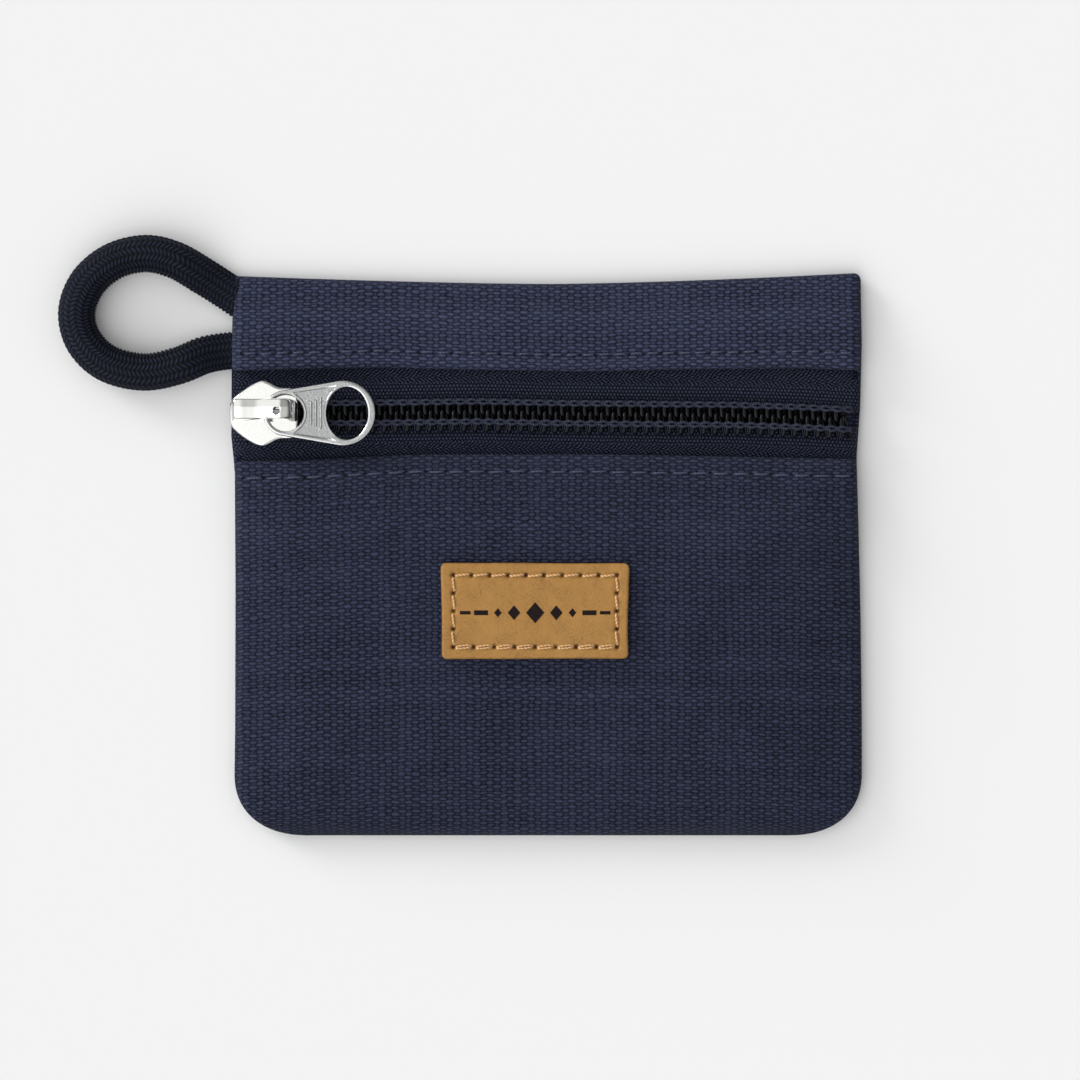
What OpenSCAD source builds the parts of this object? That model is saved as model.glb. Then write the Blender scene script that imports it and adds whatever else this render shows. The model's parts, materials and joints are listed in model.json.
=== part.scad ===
// Zippered canvas pouch with a braided hang loop, lying on its back.
// +X runs along the zip to the open end, +Y towards the top fold and +Z out of the front panel.
// The origin is the middle of the flat back face. All lengths are millimetres.

/* [Pouch] */
// Width across the side seams
body_w = 90; // [84:1:110]
// Height from the bottom seam to the top corners
body_h = 80.4; // [78:0.2:100]
// Thickness of the canvas
canvas_t = 0.6; // [0.5:0.05:0.65]
// Thickness of the pouch along its seams
seam_z = 2.8; // [2.8:0.1:3.2]
// Height that the filled front panel rises above its seams
crown_h = 4.2; // [4:0.1:8]
// Horizontal reach of a rounded bottom corner
corner_w = 11.4; // [6:0.2:16]
// Vertical reach of a rounded bottom corner
corner_h = 9.5; // [6:0.5:14]
// Depth of the hollow along the top edge
top_dip = 1.4; // [0:0.1:2]
// Width of the turned-in seam allowance
allowance = 6; // [5:0.2:7]

/* [Zip] */
// Distance from the top corners down to the middle of the chain
zip_drop = 19.8; // [19:0.2:22]
// Width of the closed chain
chain_w = 6.1; // [5.8:0.1:6.1]
// Height of the coil above its tape
coil_h = 1.9; // [1.6:0.1:1.9]
// Distance between two turns of the coil
coil_pitch = 1.63; // [1.4:0.01:2]
// Width of each woven tape
tape_w = 12; // [10:0.5:12]
// Thickness of the tape
tape_t = 0.45; // [0.35:0.05:0.45]
// Gap between the two tapes under the chain
tape_gap = 2.3; // [2.3:0.1:2.6]
// Tape showing above the middle of the chain
reveal_up = 5.8; // [5.6:0.1:6.2]
// Tape showing below the middle of the chain
reveal_down = 6.8; // [6.2:0.1:7]

/* [Slider] */
// Length of the slider's plates
slider_l = 9.2; // [9:0.1:10]
// Width across the slider's shoulders
slider_w = 9.4; // [9.4:0.1:10]
// Thickness of each plate
plate_t = 0.9; // [0.7:0.05:0.9]
// Width of the crown over the pull
crown_w = 2.9; // [2.4:0.1:3]
// Length of the pull from its eye to its tip
pull_l = 16.1; // [15:0.1:22]
// Thickness of the pull
pull_t = 1; // [0.8:0.05:1]
// Angle that the pull leans down to rest over the chain
pull_lean = 4.5; // [3:0.1:4.6]

/* [Label] */
// Width of the leather label
label_w = 27; // [20:0.5:34]
// Height of the leather label
label_h = 13.9; // [10:0.1:14]
// Thickness of the leather
label_t = 1.2; // [0.8:0.1:1.6]
// Middle of the label, to the right of the middle of the pouch
label_x = -2; // [-6:0.5:6]
// Middle of the label, above the middle of the pouch
label_y = -8.1; // [-10:0.1:-8]

/* [Thread] */
// Stitch length above the zip
stitch_up = 2.3; // [2:0.1:3.4]
// Stitch length below the zip
stitch_down = 2.9; // [2:0.1:3.4]
// Stitch length round the label
stitch_label = 2.8; // [2:0.1:3.4]
// Thickness of the sewing thread
thread_d = 0.4; // [0.3:0.05:0.45]

/* [Cord] */
// Thickness of the braided cord
cord_d = 5.5; // [4:0.1:5.6]

/* [Hidden] */

// Colours
navy = [0.16, 0.18, 0.26];
tape_navy = [0.10, 0.11, 0.16];
coil_black = [0.04, 0.045, 0.07];
core_white = [0.8, 0.8, 0.76];
thread_navy = [0.26, 0.28, 0.38];
thread_tan = [0.86, 0.70, 0.50];
tan = [0.72, 0.54, 0.31];
cord_navy = [0.11, 0.12, 0.18];
nickel = [0.78, 0.78, 0.80];
spring_steel = [0.62, 0.63, 0.66];

// Half sizes and the lines that the zip is laid out from
half_w = body_w / 2;
half_h = body_h / 2;
zip_y = half_h - zip_drop;
strip_y = zip_y + reveal_up;
panel_y = zip_y - reveal_down;

// Heights of the cloth layers, from the back face up
seam_mid = seam_z / 2;
skin = 0.1;
face_gap = 0.02;
tape_z = 2.4;
tape_top = tape_z + tape_t;
turn_t = 2 * canvas_t + skin;
turn_r = turn_t / 2;
turn_w = 5.5;
zip_edge_z = tape_top + 0.05 + turn_t;
top_r = seam_mid;
wall_t = canvas_t;

// The seams stop short of the top fold and are clipped where the slider parks
seam_top = half_h - 4.4;
clip_low = panel_y - 0.2;
clip_high = strip_y + 0.2;

// Shape of the filled front panel
side_power = 4;
end_power = 4;
blend_low = panel_y - 17.6;
blend_high = panel_y - 6.1;

// Steps of the swept cloth
corner_steps = 8;
mid_steps = 12;
face_steps = 14;
fold_steps = 6;
slope_steps = 5;

function smooth(t) = let (c = max(0, min(1, t))) c * c * (3 - 2 * c);
function mix(a, b, t) = a + (b - a) * t;
function arc(cy, cz, r, from, to, n) =
    [for (i = [0 : n]) let (a = mix(from, to, i / n)) [cy + r * cos(a), cz + r * sin(a)]];
function reversed(list) = [for (i = [len(list) - 1 : -1 : 0]) list[i]];

// Outline of the pouch seen from the front
function bottom_y(x) =
    let (d = max(0, abs(x) - (half_w - corner_w)) / corner_w)
    -half_h + corner_h * (1 - sqrt(max(0, 1 - d * d)));
function top_y(x) = half_h - top_dip * (1 - pow(x / half_w, 2));
corner_x = [for (i = [1 : corner_steps]) half_w - corner_w * (1 - sin(90 * i / corner_steps))];
mid_x = [for (i = [0 : mid_steps]) (half_w - corner_w) * (2 * i / mid_steps - 1)];
stations = concat(-1 * reversed(corner_x), mid_x, corner_x);

// Outer height of the front panel at x, for a share v of the way up to the zip
function edge_z(y) = mix(seam_z, zip_edge_z, smooth((y - blend_low) / (blend_high - blend_low)));
function puff(x, v) =
    crown_h * (1 - pow(abs(x) / half_w, side_power)) * (1 - pow(abs(2 * v - 1), end_power));
function panel_z(x, y) =
    let (low = bottom_y(x), v = (y - low) / (panel_y - turn_r - low))
    edge_z(y) + puff(x, v);

// Outer height of the strip above the zip, where it meets the side seams
slope_y = strip_y + turn_r + turn_w + 0.5;
function strip_z(y) = mix(seam_z, zip_edge_z, smooth((half_h - top_r - y) / (half_h - top_r - slope_y)));

// Sections are ribbons: the points of the outer side, then those of the inner side backwards
function ribbon(outer, inner) = concat(outer, reversed(inner));
function under(points) = [for (p = points) p - [0, canvas_t]];

// Section of the front panel at x, as [y, z] points
function front_section(x) =
    let (
        low = bottom_y(x),
        high = panel_y - turn_r,
        mid_z = zip_edge_z - turn_r,
        ys = [for (i = [0 : face_steps - 1]) mix(low, high, (1 - cos(180 * i / face_steps)) / 2)],
        face = [for (y = ys) [y, panel_z(x, y)]]
    )
    ribbon(
        concat(face, arc(high, mid_z, turn_r, 90, -90, fold_steps),
            [[high - turn_w, mid_z - turn_r]]),
        concat(under(face), arc(high, mid_z, turn_r - canvas_t, 90, -90, fold_steps),
            [[high - turn_w, mid_z - turn_r + canvas_t]]));

// Section of the back panel at x: back, fold over the top, strip and turned edge
function back_section(x) =
    let (
        top = top_y(x) - top_r,
        high = strip_y + turn_r,
        mid_z = zip_edge_z - turn_r,
        slope = [for (i = [1 : slope_steps]) let (t = i / slope_steps)
            [mix(top, slope_y, t), mix(seam_z, zip_edge_z, smooth(t))]]
    )
    ribbon(
        concat([[bottom_y(x), 0]], arc(top, top_r, top_r, -90, 90, fold_steps), slope,
            arc(high, mid_z, turn_r, 90, 270, fold_steps), [[high + turn_w, mid_z - turn_r]]),
        concat([[bottom_y(x), canvas_t]], arc(top, top_r, top_r - canvas_t, -90, 90, fold_steps),
            under(slope), arc(high, mid_z, turn_r - canvas_t, 90, 270, fold_steps),
            [[high + turn_w, mid_z - turn_r + canvas_t]]));

// Skin over closed loops with the same even number of points; the caps run across each loop
module loft(loops) {
    n = len(loops[0]);
    last = (len(loops) - 1) * n;
    sides = [for (i = [0 : len(loops) - 2]) for (j = [0 : n - 1])
        let (a = i * n + j, b = i * n + (j + 1) % n)
        each [[a, b, b + n], [a, b + n, a + n]]];
    caps = [for (j = [0 : n / 2 - 2]) let (k = n - 1 - j)
        each [[j, k, k - 1], [j, k - 1, j + 1],
            [last + j, last + k - 1, last + k], [last + j, last + j + 1, last + k - 1]]];
    polyhedron([for (loop = loops) each loop], concat(sides, caps), convexity = 10);
}

module outline() {
    polygon(concat([for (x = stations) [x, bottom_y(x)]],
        [for (x = reversed(stations)) [x, top_y(x)]]));
}

// Band that follows the seams, between two distances in from the outline
module seam_band(near, far) {
    difference() {
        offset(delta = -near) outline();
        offset(delta = -far) outline();
        translate([-body_w, seam_top]) square([2 * body_w, body_h]);
    }
}

// The same band without the stretch where the slider parks
module clipped_band(near, far) {
    difference() {
        seam_band(near, far);
        translate([-body_w, clip_low]) square([2 * body_w, clip_high - clip_low]);
    }
}

// The same band, only below the zip or only above it
module low_band(near, far) {
    intersection() {
        seam_band(near, far);
        translate([-body_w, clip_low - 2 * body_h]) square([2 * body_w, 2 * body_h]);
    }
}

module high_band(near, far) {
    intersection() {
        seam_band(near, far);
        translate([-body_w, clip_high]) square([2 * body_w, body_h]);
    }
}

module slab(z, h) {
    translate([0, 0, z]) linear_extrude(h) children();
}

// Upright cloth wall along both side seams, from its outline as [y, z] points
module side_walls(points) {
    for (x = [skin - half_w, half_w - skin - wall_t])
        translate([x, 0, 0]) rotate([90, 0, 90]) linear_extrude(wall_t) polygon(points);
}

// One straight stitch lying along +X, from its left end
module stitch(len, d) {
    rotate([0, 90, 0]) cylinder(h = len, d = d, $fn = 24);
}

// ---- Canvas shell ----

module back_panel() color(navy) {
    fold_y = half_h - top_r;
    fold_r = top_r - canvas_t / 2;
    edge = [for (i = [0 : slope_steps]) let (y = mix(clip_high, fold_y, i / slope_steps))
        [y, strip_z(y) - canvas_t / 2]];
    union() {
        loft([for (x = stations) [for (p = reversed(back_section(x))) [x, p[0], p[1]]]]);
        slab(canvas_t / 2, seam_mid - canvas_t / 2) seam_band(skin, wall_t + skin);
        slab(seam_mid - canvas_t, canvas_t) clipped_band(wall_t, allowance);
        slab(seam_mid + face_gap, canvas_t - face_gap) high_band(wall_t, allowance);
        side_walls(concat([[clip_high, seam_mid + face_gap]], edge,
            arc(fold_y, top_r, fold_r, 90 - 90 / fold_steps, 0, fold_steps)));
        side_walls(concat([[seam_top - skin, seam_mid], [seam_top - skin, canvas_t / 2]],
            arc(fold_y, top_r, fold_r, -90, 0, fold_steps)));
    }
}

module front_panel() color(navy) {
    wall_z = seam_mid + canvas_t / 2;
    rise = [for (i = [0 : face_steps]) mix(blend_low, clip_low, i / face_steps)];
    union() {
        loft([for (x = stations) [for (p = front_section(x)) [x, p[0], p[1]]]]);
        slab(seam_mid, seam_z - canvas_t / 2 - seam_mid) low_band(skin, wall_t + skin);
        slab(seam_mid, canvas_t) low_band(wall_t, allowance);
        side_walls(concat([[blend_low, wall_z]], [for (y = rise) [y, edge_z(y) - canvas_t / 2]],
            [[clip_low, wall_z]]));
    }
}

// ---- Seams inside the shell ----

seam_line = 1.2;
wire = 0.16;
under_z = canvas_t + face_gap;
over_z = seam_mid + canvas_t + face_gap;

module seam_thread() color(thread_navy) {
    for (z = [under_z, over_z]) slab(z, wire) clipped_band(seam_line, seam_line + wire);
}

binding_in = 3.6;
binding_out = allowance + 0.25;
binding_web = allowance + 0.05;

module seam_binding() color(navy) {
    for (z = [under_z, over_z]) slab(z, wire) clipped_band(binding_in, binding_out);
    slab(under_z, over_z + wire - under_z) clipped_band(binding_web, binding_out);
}

binding_line = 4.4;

module binding_thread() color(thread_navy) {
    slab(over_z + wire, wire) clipped_band(binding_line, binding_line + wire);
}

// ---- Zip: tapes, coils, cores and threads. side is 1 above the chain and -1 below ----

tape_in = tape_gap / 2;
tape_end = half_w - skin;
tape_hem = half_w - skin - wall_t - skin;

module zip_tape(side) color(tape_navy) {
    reveal = side > 0 ? reveal_up : reveal_down;
    translate([0, zip_y, 0]) scale([1, side, 1]) union() {
        translate([-tape_hem, tape_in, tape_z]) cube([2 * tape_hem, tape_w, tape_t]);
        translate([-tape_end, tape_in, tape_z])
            cube([2 * tape_end, reveal - tape_in - skin, tape_t]);
        for (x = [-tape_end, tape_end - tape_t])
            translate([x, tape_in, seam_mid])
                cube([tape_t, reveal - tape_in - skin, tape_top - seam_mid]);
    }
}

module zip_tape_upper() zip_tape(1);
module zip_tape_lower() zip_tape(-1);

coil_end = half_w - 0.8;
nose_x = -half_w - 0.4;
spread = 1.05;
spread_x = nose_x + 4.2;
joined_x = nose_x + 6.8;
function coil_shift(x) = spread * (1 - smooth((x - spread_x) / (joined_x - spread_x)));

// Strip between two distances from the middle of the chain, spread apart at the slider's post
module coil_strip(near, far, z, h) {
    bend = [for (i = [0 : 6]) mix(spread_x, joined_x, i / 6)];
    xs = concat([-coil_end], bend, [coil_end]);
    slab(z, h) polygon(concat([for (x = xs) [x, near + coil_shift(x)]],
        [for (x = reversed(xs)) [x, far + coil_shift(x)]]));
}

core_w = 1.3;
core_h = 0.8;
core_y = chain_w / 4 + 0.2;
core_z = tape_top + (coil_h - core_h) / 2;

module coil(side) color(coil_black) {
    translate([0, zip_y, 0]) scale([1, side, 1]) difference() {
        coil_strip(0, chain_w / 2, tape_top, coil_h);
        coil_strip(core_y - core_w / 2 - skin, core_y + core_w / 2 + skin, core_z - skin,
            core_h + 2 * skin);
    }
}

module coil_core(side) color(core_white) {
    translate([0, zip_y, 0]) scale([1, side, 1])
        coil_strip(core_y - core_w / 2, core_y + core_w / 2, core_z, core_h);
}

loop_d = 0.24;
loop_l = coil_pitch - 0.3;
loop_y = chain_w / 2 - 1.3;

module coil_thread(side) color(thread_navy) {
    count = floor((2 * coil_end - 1) / coil_pitch);
    for (i = [0 : count - 1]) {
        x = coil_end - 1 - (i + 1) * coil_pitch;
        translate([x, zip_y + side * (loop_y + coil_shift(x)),
            tape_top + coil_h + face_gap + loop_d / 2]) stitch(loop_l, loop_d);
    }
}

module coil_upper() coil(1);
module coil_lower() coil(-1);
module coil_core_upper() coil_core(1);
module coil_core_lower() coil_core(-1);
module coil_thread_upper() coil_thread(1);
module coil_thread_lower() coil_thread(-1);

// ---- Topstitching through the canvas and the tape ----

stitch_gap = 0.5;
stitch_margin = 1.5;

module topstitch(y, pitch, cloth_z) color(thread_navy) {
    count = floor((body_w - 2 * stitch_margin) / pitch);
    for (i = [0 : count - 1]) {
        x = (i - count / 2) * pitch;
        z = max(cloth_z(x), cloth_z(x + pitch)) + face_gap + thread_d / 2;
        translate([x, y, z]) stitch(pitch - stitch_gap, thread_d);
        if (abs(x + pitch / 2) + pitch / 2 < half_w - binding_out - skin)
            translate([x, y, tape_z - face_gap - thread_d / 2]) stitch(pitch - stitch_gap, thread_d);
    }
}

topstitch_in = 2;

module topstitch_upper() topstitch(strip_y + topstitch_in + 0.4, stitch_up, function(x) zip_edge_z);
module topstitch_lower()
    topstitch(panel_y - topstitch_in, stitch_down, function(x) panel_z(x, panel_y - topstitch_in));

// ---- Leather label ----

label_z = 7.15;
label_corner = 1;
stitch_in = 1.7;

module label_patch() color(tan) {
    translate([label_x, label_y, 0]) slab(label_z, label_t) offset(r = label_corner, $fn = 32)
        square([label_w, label_h] - 2 * label_corner * [1, 1], center = true);
}

// Row of stitches centred on the origin, along +X
module stitch_row(length) {
    count = round(length / stitch_label);
    pitch = length / count;
    for (i = [0 : count - 1])
        translate([-length / 2 + i * pitch + stitch_gap / 2, 0, 0])
            stitch(pitch - stitch_gap, thread_d);
}

module label_thread() color(thread_tan) {
    row = label_w - 2 * stitch_in;
    column = label_h - 2 * stitch_in;
    translate([label_x, label_y, label_z + label_t + face_gap + thread_d / 2]) {
        for (s = [-1, 1]) {
            translate([0, s * column / 2, 0]) stitch_row(row);
            translate([s * row / 2, 0, 0]) rotate([0, 0, 90]) stitch_row(column);
        }
    }
}

// ---- Braided hang loop, with both ends sewn into the left seam ----

// Middle of the cord from its upper end round to its lower end
cord_route = [[-45, 37.1], [-49.5, 40], [-53.4, 42.2], [-57.6, 43.1], [-62.2, 42], [-65.8, 39],
    [-67.4, 34.8], [-66.4, 30.6], [-63, 27.4], [-57.8, 26.2], [-53, 27.1], [-49, 28.7], [-45, 29.4]];
cord_z = 2.8;
cord_steps = 3;
cord_sides = 10;
seam_face = -half_w - 0.02;

function spline(p0, p1, p2, p3, t) =
    0.5 * (2 * p1 + (p2 - p0) * t + (2 * p0 - 5 * p1 + 4 * p2 - p3) * t * t
        + (3 * p1 - p0 - 3 * p2 + p3) * t * t * t);
function route_point(i, t) =
    let (n = len(cord_route) - 1, p1 = cord_route[i], p2 = cord_route[i + 1],
        p0 = i > 0 ? cord_route[i - 1] : 2 * p1 - p2,
        p3 = i + 1 < n ? cord_route[i + 2] : 2 * p2 - p1)
    spline(p0, p1, p2, p3, t);
cord_path = concat([for (i = [0 : len(cord_route) - 2]) for (k = [0 : cord_steps - 1])
    route_point(i, k / cord_steps)], [cord_route[len(cord_route) - 1]]);

// Ring of points round the path; the two end rings are cut flush with the seam
function cord_ring(i) =
    let (last = len(cord_path) - 1,
        ahead = cord_path[min(i + 1, last)] - cord_path[max(i - 1, 0)],
        along = ahead / norm(ahead), across = [-along[1], along[0]], flush = i == 0 || i == last)
    [for (k = [0 : cord_sides - 1])
        let (a = 360 * k / cord_sides, p = cord_path[i] + across * cord_d / 2 * cos(a),
            q = flush ? p + along * (seam_face - p[0]) / along[0] : p)
        [q[0], q[1], cord_z + cord_d / 2 * sin(a)]];

module cord_loop() color(cord_navy) {
    loft([for (i = [0 : len(cord_path) - 1]) reversed(cord_ring(i))]);
}

// ---- Slider. Lengths run along +X from its nose, heights are the pouch's own ----

low_plate_z = tape_z - 0.3 - plate_t;
high_plate_z = tape_top + coil_h + 0.4;
deck_z = high_plate_z + plate_t;
flange_t = 0.5;
flange_z = tape_top + 0.25;
flange_x = 4.1;
flange_y = chain_w / 2 + 0.06;
flange_reach = 2.5;
shoulder = 4.7;
waist = 6.7;
waist_w = 3.7;
post_half = 0.9;
pawl_x = 6.9;
pawl_l = 0.7;
pawl_w = 0.8;
pawl_clear = 0.2;

module slider_outline() {
    half = [[0, 1.5], [0.7, 2.4], [2.3, 3.8], [3.7, slider_w / 2 - 0.1], [shoulder, slider_w / 2],
        [5.4, slider_w / 2 - 0.25], [waist, waist_w], [slider_l, waist_w]];
    offset(r = 0.35, $fn = 32) offset(delta = -0.35)
        polygon(concat(half, [for (p = reversed(half)) [p[0], -p[1]]]));
}

module at_nose() {
    translate([nose_x, zip_y, 0]) children();
}

module slider_body() color(nickel) at_nose() {
    difference() {
        slab(high_plate_z, plate_t) slider_outline();
        translate([pawl_x - pawl_clear, -pawl_w / 2 - pawl_clear, high_plate_z - 1])
            cube([pawl_l + 2 * pawl_clear, pawl_w + 2 * pawl_clear, plate_t + 2]);
    }
    slab(flange_z, high_plate_z - flange_z + skin) intersection() {
        difference() {
            slider_outline();
            offset(delta = -flange_t) slider_outline();
        }
        union() {
            for (s = [-1, 1]) scale([1, s]) translate([flange_x, flange_y])
                square([slider_l, flange_reach]);
        }
    }
    slab(low_plate_z, plate_t) intersection() {
        slider_outline();
        translate([1.5, -slider_w]) square([slider_l, 2 * slider_w]);
    }
    slab(low_plate_z + skin, high_plate_z - low_plate_z)
        polygon([[1.6, 0.4], [2.2, post_half], [3.2, post_half], [4.5, 0],
            [3.2, -post_half], [2.2, -post_half], [1.6, -0.4]]);
}

hinge_x = 5.27;
hinge_z = deck_z + 0.9;
arch_x0 = 3.9;
arch_x1 = 8;
arch_z = deck_z + 2.6;
crown_z = deck_z + 3.35;

module slider_crown() color(nickel) at_nose() {
    translate([0, crown_w / 2, 0]) rotate([90, 0, 0]) linear_extrude(crown_w) difference() {
        polygon([[0.3, deck_z], [0.3, deck_z + 1.4], [0.7, crown_z - 0.9], [1.6, crown_z - 0.3],
            [3.4, crown_z], [8, crown_z], [9.2, crown_z - 0.35], [9.7, crown_z - 1.2],
            [9.7, deck_z]]);
        polygon([[arch_x0, deck_z - 1], [arch_x0, arch_z - 0.5], [arch_x0 + 0.5, arch_z],
            [arch_x1 - 0.5, arch_z], [arch_x1, arch_z - 0.5], [arch_x1, deck_z - 1]]);
    }
}

pawl_z = deck_z + 1.8;
pawl_t = 0.3;
pawl_x0 = 4.3;

module lock_pawl() color(spring_steel) at_nose() {
    translate([0, pawl_w / 2, 0]) rotate([90, 0, 0]) linear_extrude(pawl_w)
        polygon([[pawl_x0, pawl_z], [pawl_x0, pawl_z + pawl_t], [pawl_x + pawl_l, pawl_z + pawl_t],
            [pawl_x + pawl_l, high_plate_z], [pawl_x, high_plate_z], [pawl_x, pawl_z]]);
}

leaf_t = 0.12;

module pawl_spring() color(spring_steel) at_nose() {
    translate([pawl_x0 - 0.2, -pawl_w / 2, pawl_z + pawl_t + 0.05]) cube([3.2, pawl_w, leaf_t]);
}

// ---- Pull, drawn flat from its hinge line and then leaned down over the chain ----

eye_r = 2.6;
eye_rim = 0.7;
eye_x = 2.73;
tip_r = 4.6;
tip_x = pull_l - 0.57 - tip_r;
hole_x = tip_x + 0.57;
hole_rx = 2.95;
hole_ry = 3.7;
web_x0 = 6.5;
web_x1 = 7.9;
recess = 0.2;
bar_w = 2.4;

module pull_outline() {
    hull() {
        translate([eye_x, 0]) circle(r = eye_r + eye_rim, $fn = 48);
        translate([tip_x, 0]) circle(r = tip_r, $fn = 48);
    }
}

module oval(rx, ry) {
    polygon([for (a = [0 : 7.5 : 352.5]) [rx * cos(a), ry * sin(a)]]);
}

module pull_tab() color(nickel) at_nose() translate([hinge_x, 0, hinge_z]) rotate([0, pull_lean, 0])
    union() {
        difference() {
            slab(-pull_t / 2, pull_t) pull_outline();
            translate([eye_x, 0, 0]) cylinder(h = 2 * pull_t, r = eye_r, center = true, $fn = 64);
            slab(-pull_t, 2 * pull_t) translate([hole_x, 0]) oval(hole_rx, hole_ry);
            for (z = [-pull_t / 2 - recess, pull_t / 2 - recess])
                slab(z, 2 * recess) hull() {
                    translate([web_x0, 0]) square([0.1, 4.2], center = true);
                    translate([web_x1 - 0.4, 0]) square([0.1, 4.8], center = true);
                }
        }
        rotate([90, 0, 0]) cylinder(h = bar_w, d = pull_t, center = true, $fn = 32);
    }

back_panel();
front_panel();
seam_thread();
seam_binding();
binding_thread();
zip_tape_upper();
zip_tape_lower();
coil_upper();
coil_lower();
coil_core_upper();
coil_core_lower();
coil_thread_upper();
coil_thread_lower();
topstitch_upper();
topstitch_lower();
label_patch();
label_thread();
cord_loop();
slider_body();
slider_crown();
lock_pawl();
pawl_spring();
pull_tab();
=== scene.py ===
import json
import math

import bmesh
import bpy
import numpy as np
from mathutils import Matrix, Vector
from mathutils.geometry import tessellate_polygon


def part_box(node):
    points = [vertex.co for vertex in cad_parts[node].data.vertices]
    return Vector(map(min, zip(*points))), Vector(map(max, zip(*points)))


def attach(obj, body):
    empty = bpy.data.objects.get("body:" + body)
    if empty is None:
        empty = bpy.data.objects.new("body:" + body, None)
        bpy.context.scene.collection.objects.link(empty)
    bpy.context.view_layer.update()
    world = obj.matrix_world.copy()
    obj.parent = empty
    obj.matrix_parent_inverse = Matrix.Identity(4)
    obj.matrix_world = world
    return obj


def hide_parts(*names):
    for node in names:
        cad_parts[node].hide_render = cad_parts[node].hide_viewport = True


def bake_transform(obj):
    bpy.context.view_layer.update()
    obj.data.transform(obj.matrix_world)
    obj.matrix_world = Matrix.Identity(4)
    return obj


# Lengths in this script are millimetres.
MM = 0.001

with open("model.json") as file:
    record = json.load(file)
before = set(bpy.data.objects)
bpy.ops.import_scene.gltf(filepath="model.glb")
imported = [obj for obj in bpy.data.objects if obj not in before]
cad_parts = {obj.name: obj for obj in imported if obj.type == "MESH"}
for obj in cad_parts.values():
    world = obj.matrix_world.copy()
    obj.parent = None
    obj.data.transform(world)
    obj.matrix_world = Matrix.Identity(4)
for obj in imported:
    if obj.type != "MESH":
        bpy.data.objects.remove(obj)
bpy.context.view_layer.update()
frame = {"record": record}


# ---- Places, taken from the frame ----


def box_mm(node):
    low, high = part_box(node)
    return np.array(low) / MM, np.array(high) / MM


def joint_place(name):
    for joint in frame["record"]["behaviour"]["joints"]:
        if joint["name"] == name:
            return np.array(joint["pos_m"]) / MM


FRONT_LOW, FRONT_HIGH = box_mm("front_panel")
SHELL_HIGH = box_mm("back_panel")[1]
HALF_W = FRONT_HIGH[0]
BOTTOM = FRONT_LOW[1]
PANEL_Y = FRONT_HIGH[1]
TOP = SHELL_HIGH[1]
SEAM_Z = FRONT_LOW[2]
FOLD_Z = SHELL_HIGH[2]
ZIP_Y = box_mm("coil_upper")[0][1]
STRIP_Y = ZIP_Y + 5.8
TAPE_TOP = box_mm("zip_tape_upper")[1][2]
COIL_TOP = box_mm("coil_upper")[1][2]
LABEL_LOW, LABEL_HIGH = box_mm("label_patch")
LABEL_LOW += (0.35, 0.3, 0)
SLIDER_LOW, SLIDER_HIGH = box_mm("slider_body")
NOSE_X = SLIDER_LOW[0]
DECK_Z = SLIDER_HIGH[2]
CROWN_TOP = box_mm("slider_crown")[1][2]
HINGE = joint_place("pull_flip")

CANVAS_T = 0.6
TURN_R = 0.65
ALLOWANCE = 6.0
HEM = 5.5
CORNER_W = 10.7
CORNER_H = 9.0
CORNER_POWER = 2.3
TOP_SAGS = 1.35
EDGE_ROLL = 1.7
PITCH_UP = 2.3
PITCH_DOWN = 2.9
STITCH_UP_Y = STRIP_Y + 2.4
STITCH_DOWN_Y = PANEL_Y - 2.5
COIL_PITCH = 1.63


# ---- Shape functions ----


def smooth(t):
    t = np.clip(t, 0, 1)
    return t * t * (3 - 2 * t)


def mix(a, b, t):
    return a + (b - a) * t


def rounded(t):
    """Quarter circle that rises from 0 at t = 0 to 1 at t = 1."""
    t = np.clip(t, 0, 1)
    return np.sqrt(1 - (1 - t) ** 2)


def wobble(x, y, size, seed):
    """Smooth waves of about the given size, between about -1 and 1."""
    rng = np.random.default_rng(seed)
    total = 0
    for _ in range(7):
        turn, phase = rng.uniform(0, 2 * math.pi, 2)
        rate = rng.uniform(0.6, 1.5) / size
        total = total + np.sin((x * math.cos(turn) + y * math.sin(turn)) * rate + phase)
    return total / 3


def catmull(points, steps, closed=False):
    """Smooth curve through points, with steps samples to each span."""
    points = np.array(points, float)
    if closed:
        ring = np.vstack([points[-1], points, points[0], points[1]])
    else:
        ring = np.vstack([2 * points[0] - points[1], points, 2 * points[-1] - points[-2]])
    out = []
    for p0, p1, p2, p3 in zip(ring, ring[1:], ring[2:], ring[3:]):
        for t in np.arange(steps) / steps:
            out.append(0.5 * (2 * p1 + (p2 - p0) * t + (2 * p0 - 5 * p1 + 4 * p2 - p3) * t * t
                              + (3 * p1 - p0 - 3 * p2 + p3) * t ** 3))
    if not closed:
        out.append(points[-1])
    return np.array(out)


# How far the side edges pull in, as (height, distance) pairs from the bottom up
LEFT_IN = [(-32, 0.05), (-25, 0.15), (-5, 0.2), (12, 0.1), (17, -0.4), (27, -0.35), (33, -0.25),
           (37, 0.1), (40, 1.2)]
RIGHT_IN = [(-32, 0), (-24, 0), (-9, 0.18), (4, 0.48), (14, 0.75), (21, 0.25), (30, 0), (40, 0.2)]


def corner(t):
    """How far a bottom corner has turned in, from 0 to 1. It is a little squarer than round."""
    return 1 - (1 - np.clip(t, 0, 1) ** CORNER_POWER) ** (1 / CORNER_POWER)


def corner_in(y):
    return CORNER_W * corner((BOTTOM + CORNER_H - y) / CORNER_H)


def left_x(y):
    return -HALF_W + np.interp(y, *zip(*LEFT_IN)) + corner_in(y)


def right_x(y):
    return HALF_W - np.interp(y, *zip(*RIGHT_IN)) - corner_in(y)


def bottom_y(x):
    return BOTTOM + CORNER_H * corner((np.abs(x) - (HALF_W - CORNER_W)) / CORNER_W)


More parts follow.
